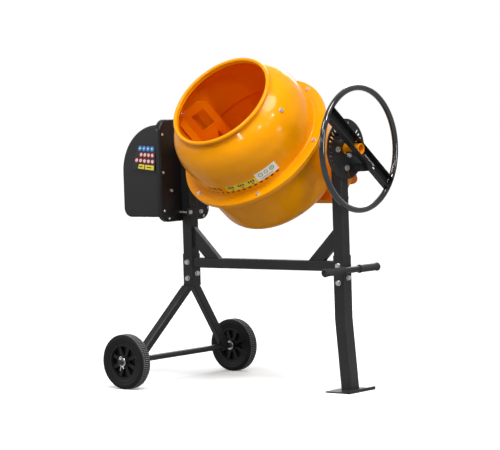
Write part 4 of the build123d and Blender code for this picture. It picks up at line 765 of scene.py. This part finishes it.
# ---- Drum: ring gear and hub ----
# Sand-cast iron, sprayed with the drum, so the sand's grain shows through.
cast_finish = Finish("painted_casting", Specular_IOR_Level=0.45)
place = cast_finish.place
sand = place.cloud(240.0, 5.0)
shade = place.cloud(18.0, 4.0)
painted_casting = cast_finish.link(Base_Color=shade.tint((0.66, 0.23, 0.004), (0.80, 0.31, 0.006)),
                                   Roughness=0.38 + (sand - 0.5) * 0.3, Normal=sand.bump(0.0008, 0.35))
dress(painted_casting, "ring_gear", "drum_hub")


# ---- Drive: shaft, pinion, pulleys, bearings, spindle and motor ----
# Turned and hobbed steel left bright and lightly oiled, die-cast alloy for the
# large pulley and the motor's shell, and a ribbed black belt between the pulleys.
def machined(name, dark, light, roughness, lay=(1, 1, 14)):
    finish = Finish(name, Metallic=1.0)
    place = finish.place
    cut = place.cloud(160.0, 4.0, lay)
    oil = place.cloud(24.0, 3.0)
    return finish.link(Base_Color=(oil * 1.2 - 0.1).tint(dark, light),
                       Roughness=roughness + (cut - 0.5) * 0.2, Normal=cut.bump(0.0002, 0.2))


turned_steel = machined("turned_steel", (0.40, 0.40, 0.41), (0.58, 0.58, 0.59), 0.3, (14, 1, 1))
dress(turned_steel, "drive_shaft", "pinion", "small_pulley", "motor_rotor", "drum_spindle", "shaft_bearings",
      "hub_bearings")
die_cast = machined("die_cast_alloy", (0.50, 0.51, 0.53), (0.64, 0.65, 0.67), 0.48, (1, 1, 1))
dress(die_cast, "large_pulley", "motor_housing")
belt_rubber = rubber("belt_rubber", (0.012, 0.012, 0.0125), 0.55, 1.5)
dress(belt_rubber, "drive_belt")

# ---- Motor housing: tray and cover ----
# Two vacuum-formed black shells, satin with a leathery grain, screwed together round their rims. The tray is
# glossier than the cover.
cover_plastic = moulded("cover_plastic", (0.013, 0.0132, 0.0137), 0.46, 620.0)
dress(cover_plastic, "housing_cover")
tray_plastic = moulded("tray_plastic", (0.008, 0.008, 0.0084), 0.34, 620.0)
dress(tray_plastic, "housing_tray")


# ---- Motor housing: pictogram plate ----
# A black vinyl plate on the cover's side with a row of blue discs, two rows of red and
# white rings and two yellow boxes. The signs are plain shapes with no meaning of their own.
cover_low, cover_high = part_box("housing_cover")
plate_corners = [(0.0875, 0.286), (0.1735, 0.282), (0.1675, 0.186), (0.0555, 0.198)]


def on_plate(across, down, lift):
    """Spot on the plate: across and down run from 0 to 1 from its upper corner by the tray's far side."""
    (ax, az), (bx, bz), (cx, cz), (dx, dz) = plate_corners
    top = (ax + (bx - ax) * across, az + (bz - az) * across)
    foot = (dx + (cx - dx) * across, dz + (cz - dz) * across)
    x, z = (t + (f - t) * down for t, f in zip(top, foot))
    return Vector((cover_low.x + x, cover_low.y - lift, cover_low.z + z))


def signs(name, material, lift, outlines):
    """Flat shapes on the plate, each a loop of (across, down) spots, given a little thickness."""
    made = bmesh.new()
    for outline in outlines:
        made.faces.new([made.verts.new(on_plate(a, d, lift)) for a, d in outline])
    bmesh.ops.recalc_face_normals(made, faces=made.faces)
    for face in made.faces:
        if face.normal.y > 0:
            face.normal_flip()
    bmesh.ops.solidify(made, geom=made.faces, thickness=0.00015)
    piece(name, made, material, "root", "black_plastic", smooth=0.5)


def disc(across, down, radius):
    """Round sign, drawn out a little downwards because the plate is wider than it is high."""
    turns_by = [tau * k / 24 for k in range(24)]
    return [(across + radius * cos(t), down + radius * 1.06 * sin(t)) for t in turns_by]


def box(a0, d0, a1, d1):
    return [(a0, d0), (a1, d0), (a1, d1), (a0, d1)]


blue_ink = vinyl("blue_ink", (0.02, 0.22, 0.62))
red_ink = vinyl("red_ink", (0.62, 0.02, 0.03))
upper_row = [(0.17 + 0.22 * k, 0.13) for k in range(4)]
lower_rows = [(0.29 + 0.19 * k, 0.38) for k in range(4)] + [(0.12 + 0.19 * k, 0.62) for k in range(5)]
signs("housing_label_plate", black_ink, 0.0002, [box(0, 0, 1, 1)])
signs("housing_label_discs", blue_ink, 0.0004, [disc(a, d, 0.1) for a, d in upper_row])
signs("housing_label_rings", red_ink, 0.0004, [disc(a, d, 0.085) for a, d in lower_rows])
white_spots = [disc(a, d, 0.035) for a, d in upper_row] + [disc(a, d, 0.055) for a, d in lower_rows]
signs("housing_label_spots", white_vinyl, 0.0006, white_spots)
signs("housing_label_dots", grey_ink, 0.0008, [disc(a, d, 0.02) for a, d in lower_rows])
signs("housing_label_boxes", yellow_vinyl, 0.0004, [box(0.26, 0.77, 0.52, 0.95), box(0.56, 0.77, 0.95, 0.95)])
signs("housing_label_bars", black_ink, 0.0006, [box(0.3, 0.84, 0.44, 0.88), box(0.64, 0.84, 0.84, 0.88)])


# ---- Switch: push buttons ----
# Moulded green and red caps, each with a raised white mark: a bar to start, a ring to stop.
def gloss_cap(name, colour):
    finish = Finish(name, Specular_IOR_Level=0.5)
    haze = finish.place.cloud(90.0, 3.0)
    return finish.link(Base_Color=haze.tint(tuple(c * 0.85 for c in colour), colour),
                       Roughness=0.26 + haze * 0.12)


dress(gloss_cap("green_cap", (0.012, 0.30, 0.06)), "start_button")
dress(gloss_cap("red_cap", (0.55, 0.012, 0.012)), "stop_button")

mark_white = vinyl("mark_white", (0.82, 0.82, 0.80))
for node, body in (("start_button", "start"), ("stop_button", "stop")):
    low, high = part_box(node)
    centre = Vector((low.x - 0.0003, (low.y + high.y) / 2, (low.z + high.z) / 2))
    mark = bmesh.new()
    if body == "start":
        bmesh.ops.create_cube(mark, size=1.0)
        bmesh.ops.scale(mark, vec=(0.0007, 0.0022, 0.011), verts=mark.verts)
        bmesh.ops.bevel(mark, geom=mark.edges, offset=0.0003, affect="EDGES", segments=2, profile=0.5,
                        material=-1)
        mark.transform(Matrix.Translation(centre))
    else:
        ring = [(0.0040, -0.00035), (0.0060, -0.00035), (0.0060, 0.00025), (0.0057, 0.00035),
                (0.0043, 0.00035), (0.0040, 0.00025)]
        turn(mark, ring, Matrix.Translation(centre) @ Matrix.Rotation(-pi / 2, 4, "Y"), 36)
    piece(node + "_mark", mark, mark_white, body, "green_plastic" if body == "start" else "red_plastic")
